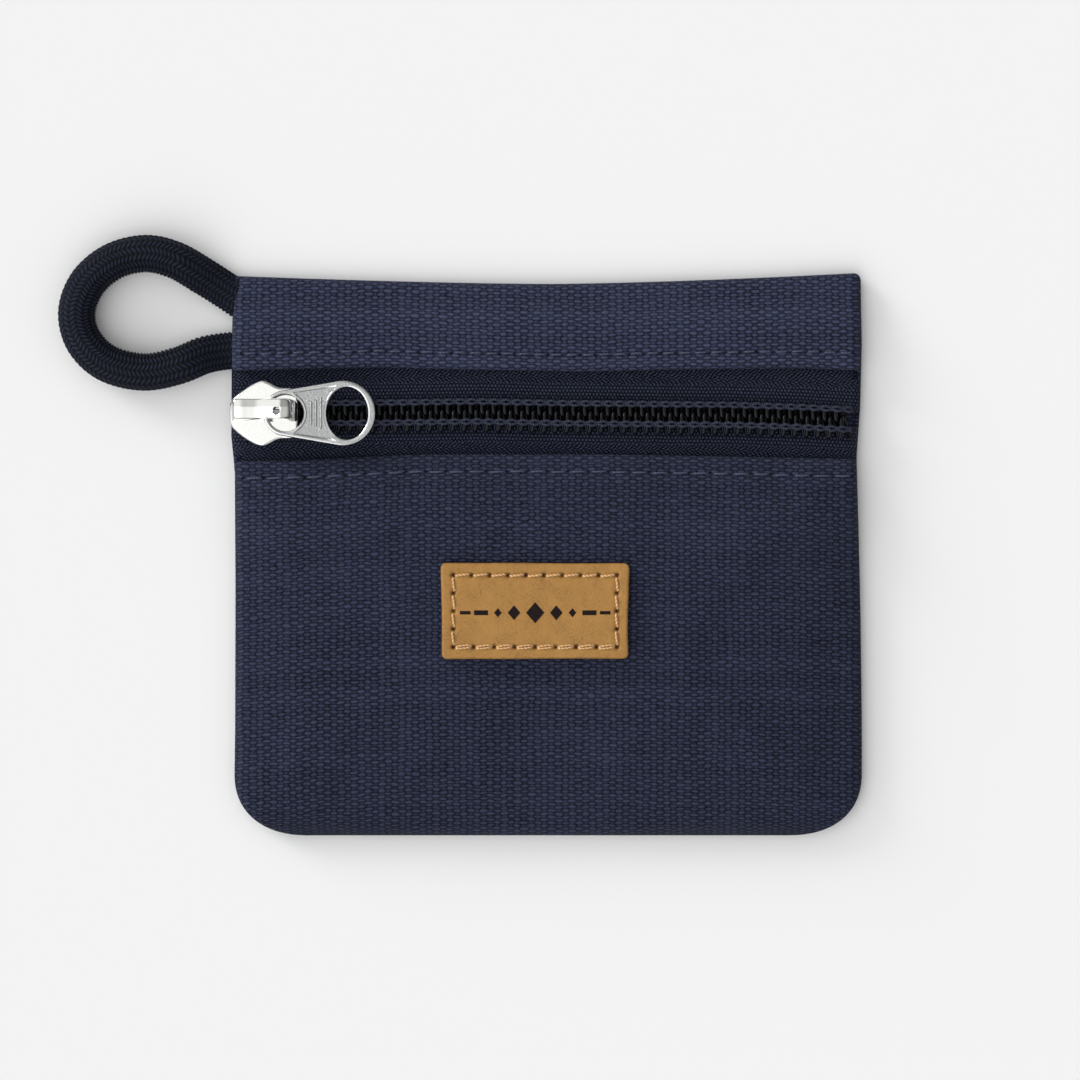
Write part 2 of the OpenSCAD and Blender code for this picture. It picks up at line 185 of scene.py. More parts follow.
def top_y(x):
    """Height of the top fold, which rises to both ends and is rounded off at the right one."""
    rise = np.where(x < 0, 1.15, 1.6)
    drop = 1 - rounded(HALF_W - 0.2 - x)
    return TOP - TOP_SAGS + rise * np.abs(x / HALF_W) ** 1.5 - drop


def panel_bow(x):
    """How far the panel's folded edge stands above its nominal line."""
    return np.interp(x, (-45, -35, -24, -18, 8, 22, 45), (-0.2, 0.0, 0.55, 0.8, 0.8, 0.55, 0.1))


def strip_bow(x):
    """How far the strip's folded edge stands above its nominal line."""
    return np.interp(x, (-45, -35, -24, -12, 5, 18, 36, 45), (0.1, 0.35, 0.6, 0.3, 0, 0.3, 0.5, 0.2))


def edge_distance(x, y):
    """Distance in from the side seams and the bottom seam."""
    across = np.maximum(np.minimum(x - left_x(y), right_x(y) - x), 0)
    up = np.maximum(y - bottom_y(x * 0.995), 0)
    return across * up / np.maximum(np.hypot(across, up), 1e-6)


def seam_pucker(x, y):
    """Small waves where the cloth is drawn in by the side seams."""
    near = np.exp(-np.minimum(HALF_W - np.abs(x), 12) / 3.5)
    return 0.14 * near * np.sin(y * 1.15 + 1.3 * np.sin(y * 0.31) + np.sign(x))


def stitch_trough(x, y, line, pitch):
    """Dip along a row of stitches, deepest at the holes."""
    across = np.exp(-((y - line) / 0.55) ** 2)
    holes = 0.5 + 0.5 * np.cos(2 * math.pi * x / pitch)
    return -across * (0.12 + 0.14 * holes)


folds = {"delta": None}


def front_base(x, y):
    """Outer height of the filled front panel before its cloth is settled."""
    blend = smooth((y - (PANEL_Y - 17.6)) / 11.5)
    rim = mix(2 * SEAM_Z, FOLD_Z, blend)
    share = (y - BOTTOM) / (PANEL_Y - TURN_R - BOTTOM)
    fill = 4.1 * (1 - np.abs(x / HALF_W) ** 4) * (1 - np.abs(2 * share - 1) ** 4)
    return rim, np.maximum(fill, 0)


def front_z(x, y):
    """Outer height of the front panel."""
    x, y = np.asarray(x, float), np.asarray(y, float)
    rim, fill = front_base(x, y)
    inner = edge_distance(x, y)
    lie = smooth(inner / 4) * smooth((PANEL_Y - y) / 4)
    ridge_y = 3.4 - 4.6 * smooth(-(x + 16) / 28)
    ridge = 0.3 * np.tanh((y - ridge_y) / 1.3) * smooth((x + 60) / 30) * smooth((24 - x) / 30)
    z = SEAM_Z + (rim - SEAM_Z) * rounded(inner / EDGE_ROLL) + fill
    z = z + lie * (ridge + 0.12 * wobble(x, y, 6, 3)) + settled(x, y) * lie
    z = z + seam_pucker(x, y) * smooth(inner / 1.5)
    return z + stitch_trough(x, y, STITCH_DOWN_Y, PITCH_DOWN)


def strip_z(x, y):
    """Outer height of the strip between the zip and the top fold."""
    x, y = np.asarray(x, float), np.asarray(y, float)
    high = top_y(x) - SEAM_Z
    z = mix(2 * SEAM_Z, FOLD_Z, smooth((high - y) / (high - (STRIP_Y + 6.6))))
    z = z + seam_pucker(x, y) + 0.1 * wobble(x, y, 7, 5)
    z = z + stitch_trough(x, y, STITCH_UP_Y, PITCH_UP)
    inner = np.minimum(x - left_x(y), right_x(y) - x)
    return SEAM_Z + (z - SEAM_Z) * rounded(inner / EDGE_ROLL)


def chain_y(x):
    """Middle of the zip chain, which sags towards its open end."""
    return ZIP_Y + np.interp(x, (-45, -25, -10, 2, 27, 36, 45), (-0.2, -0.1, 0.1, -0.15, -0.4,
                                                                -0.7, -1.15))


# ---- Mesh building ----


def grid_faces(rows, cols, wrap=False):
    """Quads of a grid of points; wrap joins the last column to the first."""
    i, j = np.meshgrid(np.arange(rows - 1), np.arange(cols if wrap else cols - 1), indexing="ij")
    i, j = i.ravel(), j.ravel()
    k = (j + 1) % cols
    quads = np.stack([i * cols + j, i * cols + k, (i + 1) * cols + k, (i + 1) * cols + j], 1)
    return quads.tolist()


def tube_faces(rows, sides):
    """Quads of a stack of closed rings, with a flat cap over each end."""
    last = (rows - 1) * sides
    caps = [list(range(sides))[::-1], [last + j for j in range(sides)]]
    return grid_faces(rows, sides, True) + caps


def sheet_rim(rows, cols):
    """Quads that join the border of a grid of points to that of the same grid below it."""
    count = rows * cols
    index = np.arange(count).reshape(rows, cols)
    loop = np.concatenate([index[0], index[1:, -1], index[-1, -2::-1], index[-2:0:-1, 0]]).tolist()
    return [[b, a, a + count, b + count] for a, b in zip(loop, loop[1:] + loop[:1])]


def facing_down(faces, count):
    """The same faces turned over, on the second count points."""
    return [[i + count for i in face[::-1]] for face in faces]


def link(name, data):
    """Adds an object to the scene."""
    obj = bpy.data.objects.new(name, data)
    bpy.context.collection.objects.link(obj)
    return obj


class Shells:
    """Closed shells that become one object. Each point keeps its place on the cloth."""

    def __init__(self):
        self.points, self.faces, self.cloth, self.flat = [], [], [], []
        self.count = 0

    def add(self, points, faces, cloth=None, flat=()):
        """cloth is a place on the cloth for each point; flat lists faces that are shaded flat."""
        points = np.asarray(points, float).reshape(-1, 3)
        cloth = points if cloth is None else np.asarray(cloth, float).reshape(-1, 3)
        self.flat += [len(self.faces) + i for i in flat]
        self.faces += [[i + self.count for i in face] for face in faces]
        self.points.append(points)
        self.cloth.append(cloth)
        self.count += len(points)

    def build(self, name, body, material, replaced=()):
        mesh = bpy.data.meshes.new(name)
        mesh.from_pydata((np.vstack(self.points) * MM).tolist(), [], self.faces)
        soft = np.ones(len(self.faces), bool)
        soft[self.flat] = False
        mesh.polygons.foreach_set("use_smooth", soft)
        place = mesh.attributes.new("cloth", "FLOAT_VECTOR", "POINT")
        place.data.foreach_set("vector", np.vstack(self.cloth).astype(np.float32).ravel())
        mesh.materials.append(material)
        mesh.update()
        obj = link(name, mesh)
        if body:
            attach(obj, body)
        if replaced:
            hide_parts(*replaced)
        return obj


def arc_lengths(grid, axis):
    """Distance walked along one axis of a grid of points, measured from the middle."""
    steps = np.linalg.norm(np.diff(grid, axis=axis), axis=2)
    start = np.zeros_like(np.take(steps, [0], axis=axis))
    walked = np.concatenate([start, np.cumsum(steps, axis=axis)], axis=axis)
    middle = np.take(walked, [walked.shape[axis] // 2], axis=axis)
    return walked - middle


def thick_sheet(outer, thickness):
    """Closed shell of cloth below a grid of outer points: its points and faces."""
    rows, cols = outer.shape[:2]
    normal = unit_rows(np.cross(np.gradient(outer, axis=1), np.gradient(outer, axis=0)))
    inner = outer - thickness * normal
    faces = grid_faces(rows, cols)
    faces = faces + facing_down(faces, rows * cols) + sheet_rim(rows, cols)
    return np.concatenate([outer.reshape(-1, 3), inner.reshape(-1, 3)]), faces


def unit_rows(vectors):
    return vectors / np.maximum(np.linalg.norm(vectors, axis=-1, keepdims=True), 1e-9)


def frames_along(path):
    """Two unit normals at each point of a path that don't twist along it."""
    ahead = unit_rows(np.gradient(np.asarray(path, float), axis=0))
    side = np.cross(ahead[0], [0, 0, 1])
    if np.linalg.norm(side) < 0.1:
        side = np.cross(ahead[0], [0, 1, 0])
    sides = []
    for tangent in ahead:
        side = side - tangent * np.dot(side, tangent)
        side = side / np.linalg.norm(side)
        sides.append(side)
    sides = np.array(sides)
    return sides, np.cross(sides, ahead)


def walk(path):
    """Distance along a path to each of its points."""
    return np.concatenate([[0], np.cumsum(np.linalg.norm(np.diff(path, axis=0), axis=1))])


def rings_along(path, across, upwards):
    """Rings round a path, from the reach of each point to the side and up."""
    side, up = frames_along(path)
    return path[:, None] + across[..., None] * side[:, None] + upwards[..., None] * up[:, None]


def tube(shells, path, radius, sides=8, plies=0, lay=1.2):
    """Adds a round tube. plies gives it the ridges of a twisted thread, one turn in lay."""
    path = np.asarray(path, float)
    walked = walk(path)
    angle = 2 * math.pi * np.arange(sides) / sides
    turn = angle[None, :] + 2 * math.pi * walked[:, None] / lay
    reach = np.broadcast_to(np.asarray(radius, float).reshape(-1, 1), turn.shape)
    if plies:
        reach = reach * (0.88 + 0.16 * np.abs(np.cos(turn * plies / 2)))
    ring = rings_along(path, reach * np.cos(angle), reach * np.sin(angle))
    cloth = np.stack([np.broadcast_to(walked[:, None], turn.shape), turn, reach], 2)
    shells.add(ring, tube_faces(len(path), sides), cloth)


def inset(loop, distance):
    """Moves a closed loop of [x, y] points to its left by a distance."""
    ahead = unit_rows(np.roll(loop, -1, 0) - np.roll(loop, 1, 0))
    return loop + distance * np.stack([-ahead[:, 1], ahead[:, 0]], 1)


def plate(shells, outline, holes, low, high, edge, place=None, steps=4):
    """Adds a plate with rounded edges. The outline runs anticlockwise and the holes clockwise."""
    loops = [np.asarray(outline, float)] + [np.asarray(h, float) for h in holes]
    turns = [0.5 * math.pi * i / steps for i in range(steps + 1)]
    levels = [(edge * (1 - math.sin(a)), low + edge * (1 - math.cos(a))) for a in turns]
    levels += [(edge * (1 - math.cos(a)), high - edge * (1 - math.sin(a))) for a in turns]
    points, faces, starts = [], [], []
    for loop in loops:
        n = len(loop)
        start = len(points)
        for inwards, z in levels:
            points += [[x, y, z] for x, y in inset(loop, inwards)]
        faces += [[i + start for i in face] for face in grid_faces(len(levels), n, True)]
        starts.append((start, start + (len(levels) - 1) * n, n))
    walls = len(faces)
    for layer, flip in ((0, True), (1, False)):
        ids = [i for s in starts for i in range(s[layer], s[layer] + s[2])]
        polygons = [[Vector(points[i]) for i in range(s[layer], s[layer] + s[2])] for s in starts]
        for a, b, c in tessellate_polygon(polygons):
            tri = [ids[a], ids[b], ids[c]]
            p, q, r = (np.array(points[i]) for i in tri)
            upward = np.cross(q - p, r - p)[2] > 0
            faces.append(tri if upward != flip else tri[::-1])
    points = np.array(points)
    if place is not None:
        points = place(points)
    shells.add(points, faces, flat=range(walls, len(faces)))


def circle(cx, cy, rx, ry=None, count=48, clockwise=False):
    ry = rx if ry is None else ry
    angle = 2 * math.pi * np.arange(count) / count * (-1 if clockwise else 1)
    return np.stack([cx + rx * np.cos(angle), cy + ry * np.sin(angle)], 1)


# ---- Node materials ----


def math_node(kind):
    """A method that puts a Value through one kind of Math node."""
    return lambda value, *others: value.math(kind, *others)


class Value:
    """A number in a node tree. Arithmetic on it adds Math nodes."""

    def __init__(self, tree, socket):
        self.tree, self.socket = tree, socket

    def math(self, kind, *others):
        node = self.tree.nodes.new("ShaderNodeMath")
        node.operation = kind
        for slot, item in zip(node.inputs, (self, *others)):
            if isinstance(item, Value):
                self.tree.links.new(item.socket, slot)
            else:
                slot.default_value = item
        return Value(self.tree, node.outputs[0])

    __add__ = math_node("ADD")
    __sub__ = math_node("SUBTRACT")
    __mul__ = math_node("MULTIPLY")
    __truediv__ = math_node("DIVIDE")
    __pow__ = math_node("POWER")
    __abs__ = math_node("ABSOLUTE")
    fract = math_node("FRACT")
    floor = math_node("FLOOR")
    sine = math_node("SINE")
    cosine = math_node("COSINE")
    top = math_node("MAXIMUM")
    low = math_node("MINIMUM")

    def less_from(self, number):
        """number minus this."""
        return self.math("MULTIPLY_ADD", -1, number)

    def ridge(self):
        """Round ridge, 1 at the middle of each unit and 0 at its ends."""
        return (self.fract() * math.pi).sine()

    def step(self, start, end):
        """0 below start and 1 above end, or the reverse where start is the larger."""
        node = self.tree.nodes.new("ShaderNodeMapRange")
        node.interpolation_type = "SMOOTHSTEP"
        self.tree.links.new(self.socket, node.inputs["Value"])
        flip = start > end
        node.inputs["From Min"].default_value = min(start, end)
        node.inputs["From Max"].default_value = max(start, end)
        node.inputs["To Min"].default_value = 1.0 if flip else 0.0
        node.inputs["To Max"].default_value = 0.0 if flip else 1.0
        return Value(self.tree, node.outputs["Result"])


EVEN = (1, 1, 1)


class Finish:
    """A procedural material on a Principled shader."""

    def __init__(self, name, constants):
        """constants has a value for each named socket of the shader."""
        self.material = bpy.data.materials.new(name)
        self.material.use_nodes = True
        self.tree = self.material.node_tree
        self.shader = self.tree.nodes["Principled BSDF"]
        for socket, value in constants.items():
            self.shader.inputs[socket].default_value = value

    def node(self, kind, **inputs):
        node = self.tree.nodes.new(kind)
        for name, value in inputs.items():
            node.inputs[name].default_value = value
        return node

    def place(self):
        """The cloth coordinates of the point being shaded, as three Values."""
        source = self.node("ShaderNodeAttribute")
        source.attribute_name = "cloth"
        self.vector = source.outputs["Vector"]
        split = self.node("ShaderNodeSeparateXYZ")
        self.tree.links.new(self.vector, split.inputs[0])
        return [Value(self.tree, split.outputs[i]) for i in range(3)]

    def noise(self, scale, stretch=EVEN, detail=2.0, roughness=0.5):
        """Noise over the cloth coordinates, from 0 to 1."""
        spread = self.node("ShaderNodeMapping")
        spread.inputs["Scale"].default_value = stretch
        self.tree.links.new(self.vector, spread.inputs["Vector"])
        node = self.node("ShaderNodeTexNoise", Scale=scale, Detail=detail, Roughness=roughness)
        self.tree.links.new(spread.outputs[0], node.inputs["Vector"])
        return Value(self.tree, node.outputs[0])

    def cells(self, scale, feature="F1"):
        node = self.node("ShaderNodeTexVoronoi", Scale=scale)
        node.feature = feature
        self.tree.links.new(self.vector, node.inputs["Vector"])
        return Value(self.tree, node.outputs["Distance"])

    def chance(self, value, seed):
        """A steady random number for each whole value."""
        node = self.node("ShaderNodeTexWhiteNoise")
        node.noise_dimensions = "1D"
        self.tree.links.new((value + seed).socket, node.inputs["W"])
        return Value(self.tree, node.outputs["Value"])

    def colours(self, value, stops):
        """Colour ramp over a Value, from (place, (r, g, b)) stops."""
        node = self.node("ShaderNodeValToRGB")
        ramp = node.color_ramp
        while len(ramp.elements) < len(stops):
            ramp.elements.new(0.5)
        for element, (place, colour) in zip(ramp.elements, stops):
            element.position = place
            element.color = (*colour, 1)
        self.tree.links.new(value.socket, node.inputs["Fac"])
        self.tree.links.new(node.outputs["Color"], self.shader.inputs["Base Color"])

    def shades(self, value, colour, *stops):
        """Colour ramp over a Value through multiples of one colour, from (place, amount) stops."""
        self.colours(value, [(place, shade_of(colour, amount)) for place, amount in stops])

    def rough(self, value):
        self.tree.links.new(value.socket, self.shader.inputs["Roughness"])

    def bump(self, height, depth, strength=1.0):
        """Relief of the given depth in millimetres, where height is 1."""
        node = self.node("ShaderNodeBump", Strength=strength, Distance=depth * MM)
        self.tree.links.new(height.socket, node.inputs["Height"])
        self.tree.links.new(node.outputs["Normal"], self.shader.inputs["Normal"])


def shade_of(colour, amount):
    return tuple(c * amount for c in colour)


WARP_PITCH = 0.97
WEFT_PITCH = 0.467


def canvas(name, colour, stitch_line=None, stitch_pitch=None):
    """Plain-weave cotton, with uneven yarns and painted shade between them, and needle holes along
    one line with painted shade in them.
    """
    cloth = Finish(name, {"Roughness": 0.92, "Sheen Weight": 0.03, "Sheen Roughness": 0.5,
                          "Specular IOR Level": 0.06})
    x, y, _ = cloth.place()
    drift_x = cloth.noise(0.55, (1, 0.3, 1), 3) - 0.5
    drift_y = cloth.noise(0.5, (0.4, 1, 1), 3) - 0.5
    u = x / WARP_PITCH + drift_x * 1.0
    v = y / WEFT_PITCH + drift_y * 1.6
    row, column = v.floor(), u.floor()
    fat_warp = cloth.chance(column, 3.7)
    fat_weft = cloth.chance(row, 9.1)
    weft_wave = (((u + row) * math.pi).sine() * 1.5).low(1)
    warp_wave = (((v + column) * math.pi).sine() * -1.3).low(1)
    weft = v.ridge() ** 0.7 * 0.62 + weft_wave * 0.4 + (fat_weft - 0.5) * 0.2
    warp = u.ridge() * 0.42 + warp_wave * 0.3 + (fat_warp - 0.5) * 0.1 - 0.16
    weave = weft.top(warp)
    fibre = cloth.noise(6.0, EVEN, 4, 0.65)
    slub = cloth.noise(1.2, (1, 2.2, 1), 3)
    worn = cloth.noise(0.09, EVEN, 3)
    height = weave + (fibre - 0.5) * 0.6 + (slub - 0.5) * 0.35
    # Colour follows the weave's height, which paints shade between the yarns; slub and worn noise
    # add random tone.
    tone_and_shade = height * 0.6 + (worn - 0.5) * 0.12 + (slub - 0.5) * 0.2
    if stitch_line is not None:
        along = (x / stitch_pitch + 0.5).fract() - 0.5
        across = (y - stitch_line) * 1.25
        away = (along * stitch_pitch) ** 2 + across ** 2
        hole = away.step(0.14, 0.02)
        height = height - hole * 0.9
        # Painted shade in each needle hole.
        tone_and_shade = tone_and_shade - hole * 0.14
    cloth.shades(tone_and_shade, colour, (0.0, 0.08), (0.2, 0.5), (0.4, 1.15), (0.85, 2.1))
    cloth.bump(height, 0.22)
    return cloth.material


def tape_cloth(name, colour):
    """Zip tape: ribbed beside the chain and herringbone twill outside it, with painted shade between
    its yarns.
    """
    cloth = Finish(name, {"Roughness": 0.75, "Specular IOR Level": 0.1})
    x, y, _ = cloth.place()
    drift = cloth.noise(0.6, (0.5, 1, 1), 2) - 0.5
    away = abs(y)
    lines = away / 0.5 + drift * 0.3
    ribs = (x / 0.5 + drift * 0.6 + lines.floor() * 0.5).ridge() * 0.6 + lines.ridge() * 0.4
    band = ((away / 1.7).floor() * math.pi).cosine()
    slant = (x / 0.62 + away * band / 0.62 + drift * 1.6).ridge()
    cord = (away / 0.42 + (x / 0.62).floor() * 0.5).ridge()
    twill = slant * 0.6 + cord * 0.4
    outside = away.step(4.0, 4.6)
    height = twill * outside + ribs * outside.less_from(1)
    fibre = cloth.noise(5.0, EVEN, 4, 0.65)
    # Colour follows the weave's height, which paints shade between the yarns; fibre noise adds
    # random tone.
    tone_and_shade = height * 0.8 + (fibre - 0.5) * 1.0 - 0.03
    cloth.shades(tone_and_shade, colour, (0.18, 0.02), (0.42, 0.55), (0.8, 5.4))
    cloth.bump(height + (fibre - 0.5) * 0.4, 0.18)
    return cloth.material


def thread(name, colour, plies=2):
    """Twisted sewing thread, with painted shade between its plies."""
    strand = Finish(name, {"Roughness": 0.55, "Specular IOR Level": 0.15})
    _, turn, _ = strand.place()
    ply = (turn * (plies / (2 * math.pi))).ridge()
    fibre = strand.noise(9.0, (0.4, 1, 1), 3, 0.6)
    # Painted shade in the grooves between the plies, with random fibre tone.
    tone_and_shade = ply * 0.55 + fibre * 0.45
    strand.shades(tone_and_shade, colour, (0.1, 0.3), (0.5, 0.9), (0.9, 1.5))
    strand.bump(tone_and_shade, 0.05)
    return strand.material


def braid(name, colour):
    """Round polyester braid; its picks are in the mesh, and its filaments and the painted shade
    between the picks are drawn here.
    """
    cord = Finish(name, {"Roughness": 0.7, "Specular IOR Level": 0.12})
    _, _, lift = cord.place()
    fibre = cord.noise(5.0, (3.0, 1.6, 1), 3, 0.6)
    patch = cord.noise(0.35, EVEN, 2)
    # Painted shade where the picks sink between each other, with random fibre and patch tone.
    tone_and_shade = lift * 0.75 + (fibre - 0.5) * 0.45 + (patch - 0.5) * 0.15
    cord.shades(tone_and_shade, colour, (0.1, 0.06), (0.5, 0.65), (0.9, 2.2))
    cord.bump(fibre, 0.07)
    return cord.material


def leather(name, colour):
    """Vegetable-tanned leather: pores, faint creases, a darker cut edge, and painted shade in the
    stitch holes.
    """
    hide = Finish(name, {"Roughness": 0.5, "Specular IOR Level": 0.2})
    _, _, dark = hide.place()
    fine = hide.noise(3.2, EVEN, 6, 0.7)
    cloudy = hide.noise(0.3, EVEN, 4)
    pores = hide.cells(2.6).step(0.05, 0.3)
    grain = hide.noise(0.9, (1.0, 0.7, 1), 5, 0.65)
    # Random tone from the noises, with painted shade in the stitch holes and the darker cut edge
    # through dark.
    tone_and_shade = ((fine - 0.5) * 0.8 + (cloudy - 0.5) * 0.45 + (grain - 0.5) * 0.35 + pores * 0.06 + 0.49
            - dark * 0.5)
    hide.colours(tone_and_shade, [(0.0, (0.045, 0.012, 0.004)), (0.22, shade_of(colour, 0.42)),
                        (0.5, colour), (0.8, shade_of(colour, 1.3))])
    hide.rough(fine * 0.2 + dark * 0.2 + 0.4)
    hide.bump(pores * 0.5 + fine * 0.6, 0.05)
    return hide.material


def metal(name, colour, roughness, grain):
    """Plated or rolled metal with fine scratches. grain is the depth of its relief."""
    plated = Finish(name, {"Metallic": 1.0})
    plated.place()
    speck = plated.noise(3.0, EVEN, 4, 0.6)
    brushed = plated.noise(6.0, (0.25, 3, 1), 3, 0.6)
    plated.shades(speck, colour, (0.3, 0.93), (0.7, 1))
    plated.rough(speck * 0.06 + brushed * 0.04 + roughness)
    plated.bump(speck * 0.6 + brushed * 0.4, grain)
    return plated.material


def plastic(name, colour):
    """Nylon monofilament with fine drawing marks."""
    nylon = Finish(name, {"Specular IOR Level": 0.2})
    nylon.place()
    marks = nylon.noise(5.0, (0.3, 2, 1), 3)
    nylon.shades(marks, colour, (0.3, 0.8), (0.7, 1.3))
    nylon.rough(marks * 0.08 + 0.07)
    nylon.bump(marks, 0.01)
    return nylon.material


def printed(name, colour):
    """Dark ink pressed into leather."""
    ink = Finish(name, {"Specular IOR Level": 0.06})
    ink.place()
    wear = ink.noise(2.5, EVEN, 4, 0.6)
    ink.shades(wear, colour, (0.3, 0.8), (0.75, 1.6))
    ink.rough(wear * 0.3 + 0.4)
    ink.bump(wear, 0.03)
    return ink.material


# ---- Camera ----

VIEW_CENTRE = (-1.14, 2.14)
VIEW_WIDTH = 154.3
VIEW_DISTANCE = 800.0


def make_camera():
    data = bpy.data.cameras.new("camera")
    data.sensor_width = 36
    data.lens = 36 * (VIEW_DISTANCE - FOLD_Z) / VIEW_WIDTH
    data.clip_end = 10
    camera = link("camera", data)
    camera.location = Vector((*VIEW_CENTRE, VIEW_DISTANCE)) * MM
    bpy.context.scene.camera = camera


# ---- Braided hang loop ----

# Middle of the cord in metres, from its upper end at the seam round to its lower end
CORD_ROUTE = [(-0.045, 0.0371), (-0.0495, 0.04), (-0.0534, 0.0422), (-0.0576, 0.0431),
              (-0.0622, 0.042), (-0.0658, 0.039), (-0.0674, 0.0348), (-0.0664, 0.0306),
              (-0.063, 0.0274), (-0.0578, 0.0262), (-0.053, 0.0271), (-0.049, 0.0287),
              (-0.045, 0.0294)]
CORD_Z = 2.8
CORD_D = 5.5
BRAID_COLUMNS = 16
# Length of one pick along the cord
PICK = 0.62
BRAID_SIDES = BRAID_COLUMNS * 8
CORD_SEWN = 2.5
# Length over which the cord flattens towards the seam, and how far it sinks on the way
CORD_FLATTENS = 8.5
CORD_SINKS = 1.4


def even_steps(path, step):
    """The same path with its points about step apart, and the distance to each of them."""
    walked = walk(path)
    marks = np.linspace(0, walked[-1], round(walked[-1] / step) + 1)
    return np.stack([np.interp(marks, walked, path[:, i]) for i in range(3)], 1), marks


def sewn_share(x):
    """0 along the free cord, rising to 1 where it goes into the side seam."""
    return smooth((x + HALF_W + CORD_FLATTENS) / CORD_FLATTENS)


def make_cord():
    route = np.array(CORD_ROUTE) / MM
    sewn_in = [[-HALF_W + CORD_SEWN, route[0][1] - 1.6], [-HALF_W + CORD_SEWN, route[-1][1] + 0.4]]
    flat = catmull(np.vstack([sewn_in[:1], route, sewn_in[1:]]), 40)
    path, walked = even_steps(np.c_[flat, CORD_Z - CORD_SINKS * sewn_share(flat[:, 0])], 0.1)
    angle = 2 * math.pi * (np.arange(BRAID_SIDES) + 0.5) / BRAID_SIDES
    column = angle / (2 * math.pi) * BRAID_COLUMNS
    across = column % 1 - 0.5
    lean = np.where(np.floor(column) % 2 > 0, 1, -1)
    bend = np.clip(-np.cos(angle), 0, 1) ** 2
    uneven = 0.16 * wobble(walked[:, None], 2.5 * angle, 1.2, 13)
    pick = walked[:, None] / PICK + lean * across * 0.95 * (1 - 0.8 * bend) + uneven
    bead = np.abs(np.cos(math.pi * pick)) ** 0.8
    lift = bead * np.sqrt(np.maximum(1 - (2 * across) ** 2 * 0.92, 0))
    reach = CORD_D / 2 - (0.2 + 0.14 * bend) * (1 - lift)
    slack = 1 + 0.012 * wobble(walked[:, None], 3 * angle, 3, 11)
    squeezed = 1 - 0.75 * sewn_share(path[:, :1])
    ring = rings_along(path, reach * slack * np.cos(angle),
                       reach * slack * squeezed * np.sin(angle))
    cloth = np.stack([np.broadcast_to(walked[:, None], lift.shape),
                      np.broadcast_to(angle * CORD_D / 2, lift.shape), lift], 2)
    shells = Shells()
    shells.add(ring, tube_faces(len(path), BRAID_SIDES), cloth)
    cord = shells.build("hang_loop", "pouch", braid("braid", (0.0108, 0.0142, 0.0265)),
                        ("cord_loop",))


# ---- Canvas shell ----

NAVY = (0.0254, 0.0294, 0.0550)
# The back's canvas, seen as the top strip, is coloured lighter than the front's: painted light, as
# the strip takes more of the light.
BACK_PAINTED_LIGHT = 1.32
BINDING_SHADE = 0.9
SETTLE_STEPS = 24
# Share of the simulated height change that the panel keeps, and the most that it is taken to be
SETTLED_SHARE = 0.5
SETTLED_MOST = 0.6


def settled(x, y):
    """Height that the cloth simulation adds to the front panel."""
    grid = folds["delta"]
    if grid is None:
        return 0 * x
    rows, cols = grid.shape
    i = np.clip((y - BOTTOM) / (PANEL_Y - BOTTOM), 0, 1) * (rows - 1)
    j = np.clip((x + HALF_W) / (2 * HALF_W), 0, 1) * (cols - 1)
    a, b = np.minimum(i.astype(int), rows - 2), np.minimum(j.astype(int), cols - 2)
    s, t = smooth(i - a), smooth(j - b)
    return (mix(grid[a, b], grid[a, b + 1], t) * (1 - s)
            + mix(grid[a + 1, b], grid[a + 1, b + 1], t) * s)


def settle_front():
    """Lets the front panel bulge and fold as cloth, and keeps how its height changes."""
    rows, cols = 37, 61
    y, x = np.meshgrid(np.linspace(BOTTOM, PANEL_Y, rows), np.linspace(-HALF_W, HALF_W, cols),
                       indexing="ij")
    rim, fill = front_base(x, y)
    start = np.stack([x, y, rim + fill], 2)
    mesh = bpy.data.meshes.new("settling")
    mesh.from_pydata((start.reshape(-1, 3) * MM).tolist(), [], grid_faces(rows, cols))
    obj = link("settling", mesh)
    held = obj.vertex_groups.new(name="seams")
    index = np.arange(rows * cols).reshape(rows, cols)
    edge = np.concatenate([index[0], index[-1], index[:, 0], index[:, -1]])
    held.add(np.unique(edge).tolist(), 1.0, "REPLACE")
    cloth = obj.modifiers.new("Cloth", "CLOTH")
    values = {"vertex_group_mass": "seams", "quality": 8, "mass": 0.3, "tension_stiffness": 20,
              "compression_stiffness": 20, "bending_stiffness": 0.3, "shrink_min": -0.012,
              "shrink_max": -0.012, "use_pressure": True, "uniform_pressure_force": 0.4}
    for setting, value in values.items():
        setattr(cloth.settings, setting, value)
    cloth.settings.effector_weights.gravity = 0
    cloth.point_cache.frame_end = SETTLE_STEPS
    scene = bpy.context.scene
    for step in range(1, SETTLE_STEPS + 1):
        scene.frame_set(step)
    graph = bpy.context.evaluated_depsgraph_get()
    done = obj.evaluated_get(graph).to_mesh()
    after = np.empty(rows * cols * 3, np.float32)
    done.vertices.foreach_get("co", after)
    obj.evaluated_get(graph).to_mesh_clear()
    rise = after.reshape(rows, cols, 3)[..., 2] / MM - start[..., 2]
    rise -= np.median(rise)
    folds["delta"] = SETTLED_SHARE * np.clip(rise, -SETTLED_MOST, SETTLED_MOST)
    scene.frame_set(1)
    bpy.data.objects.remove(obj)
    bpy.data.meshes.remove(mesh)


def columns(count):
    """Shares of the way across, from -1 to 1, closest together at both ends."""
    t = np.linspace(0, 1, count)
    return 2 * (t - 0.8 * np.sin(2 * math.pi * t) / (2 * math.pi)) - 1


def span(y, u):
    """Places across the pouch at a height, for shares u from -1 to 1."""
    low, high = left_x(y), right_x(y)
    return mix(low[:, None], high[:, None], (u[None, :] + 1) / 2)


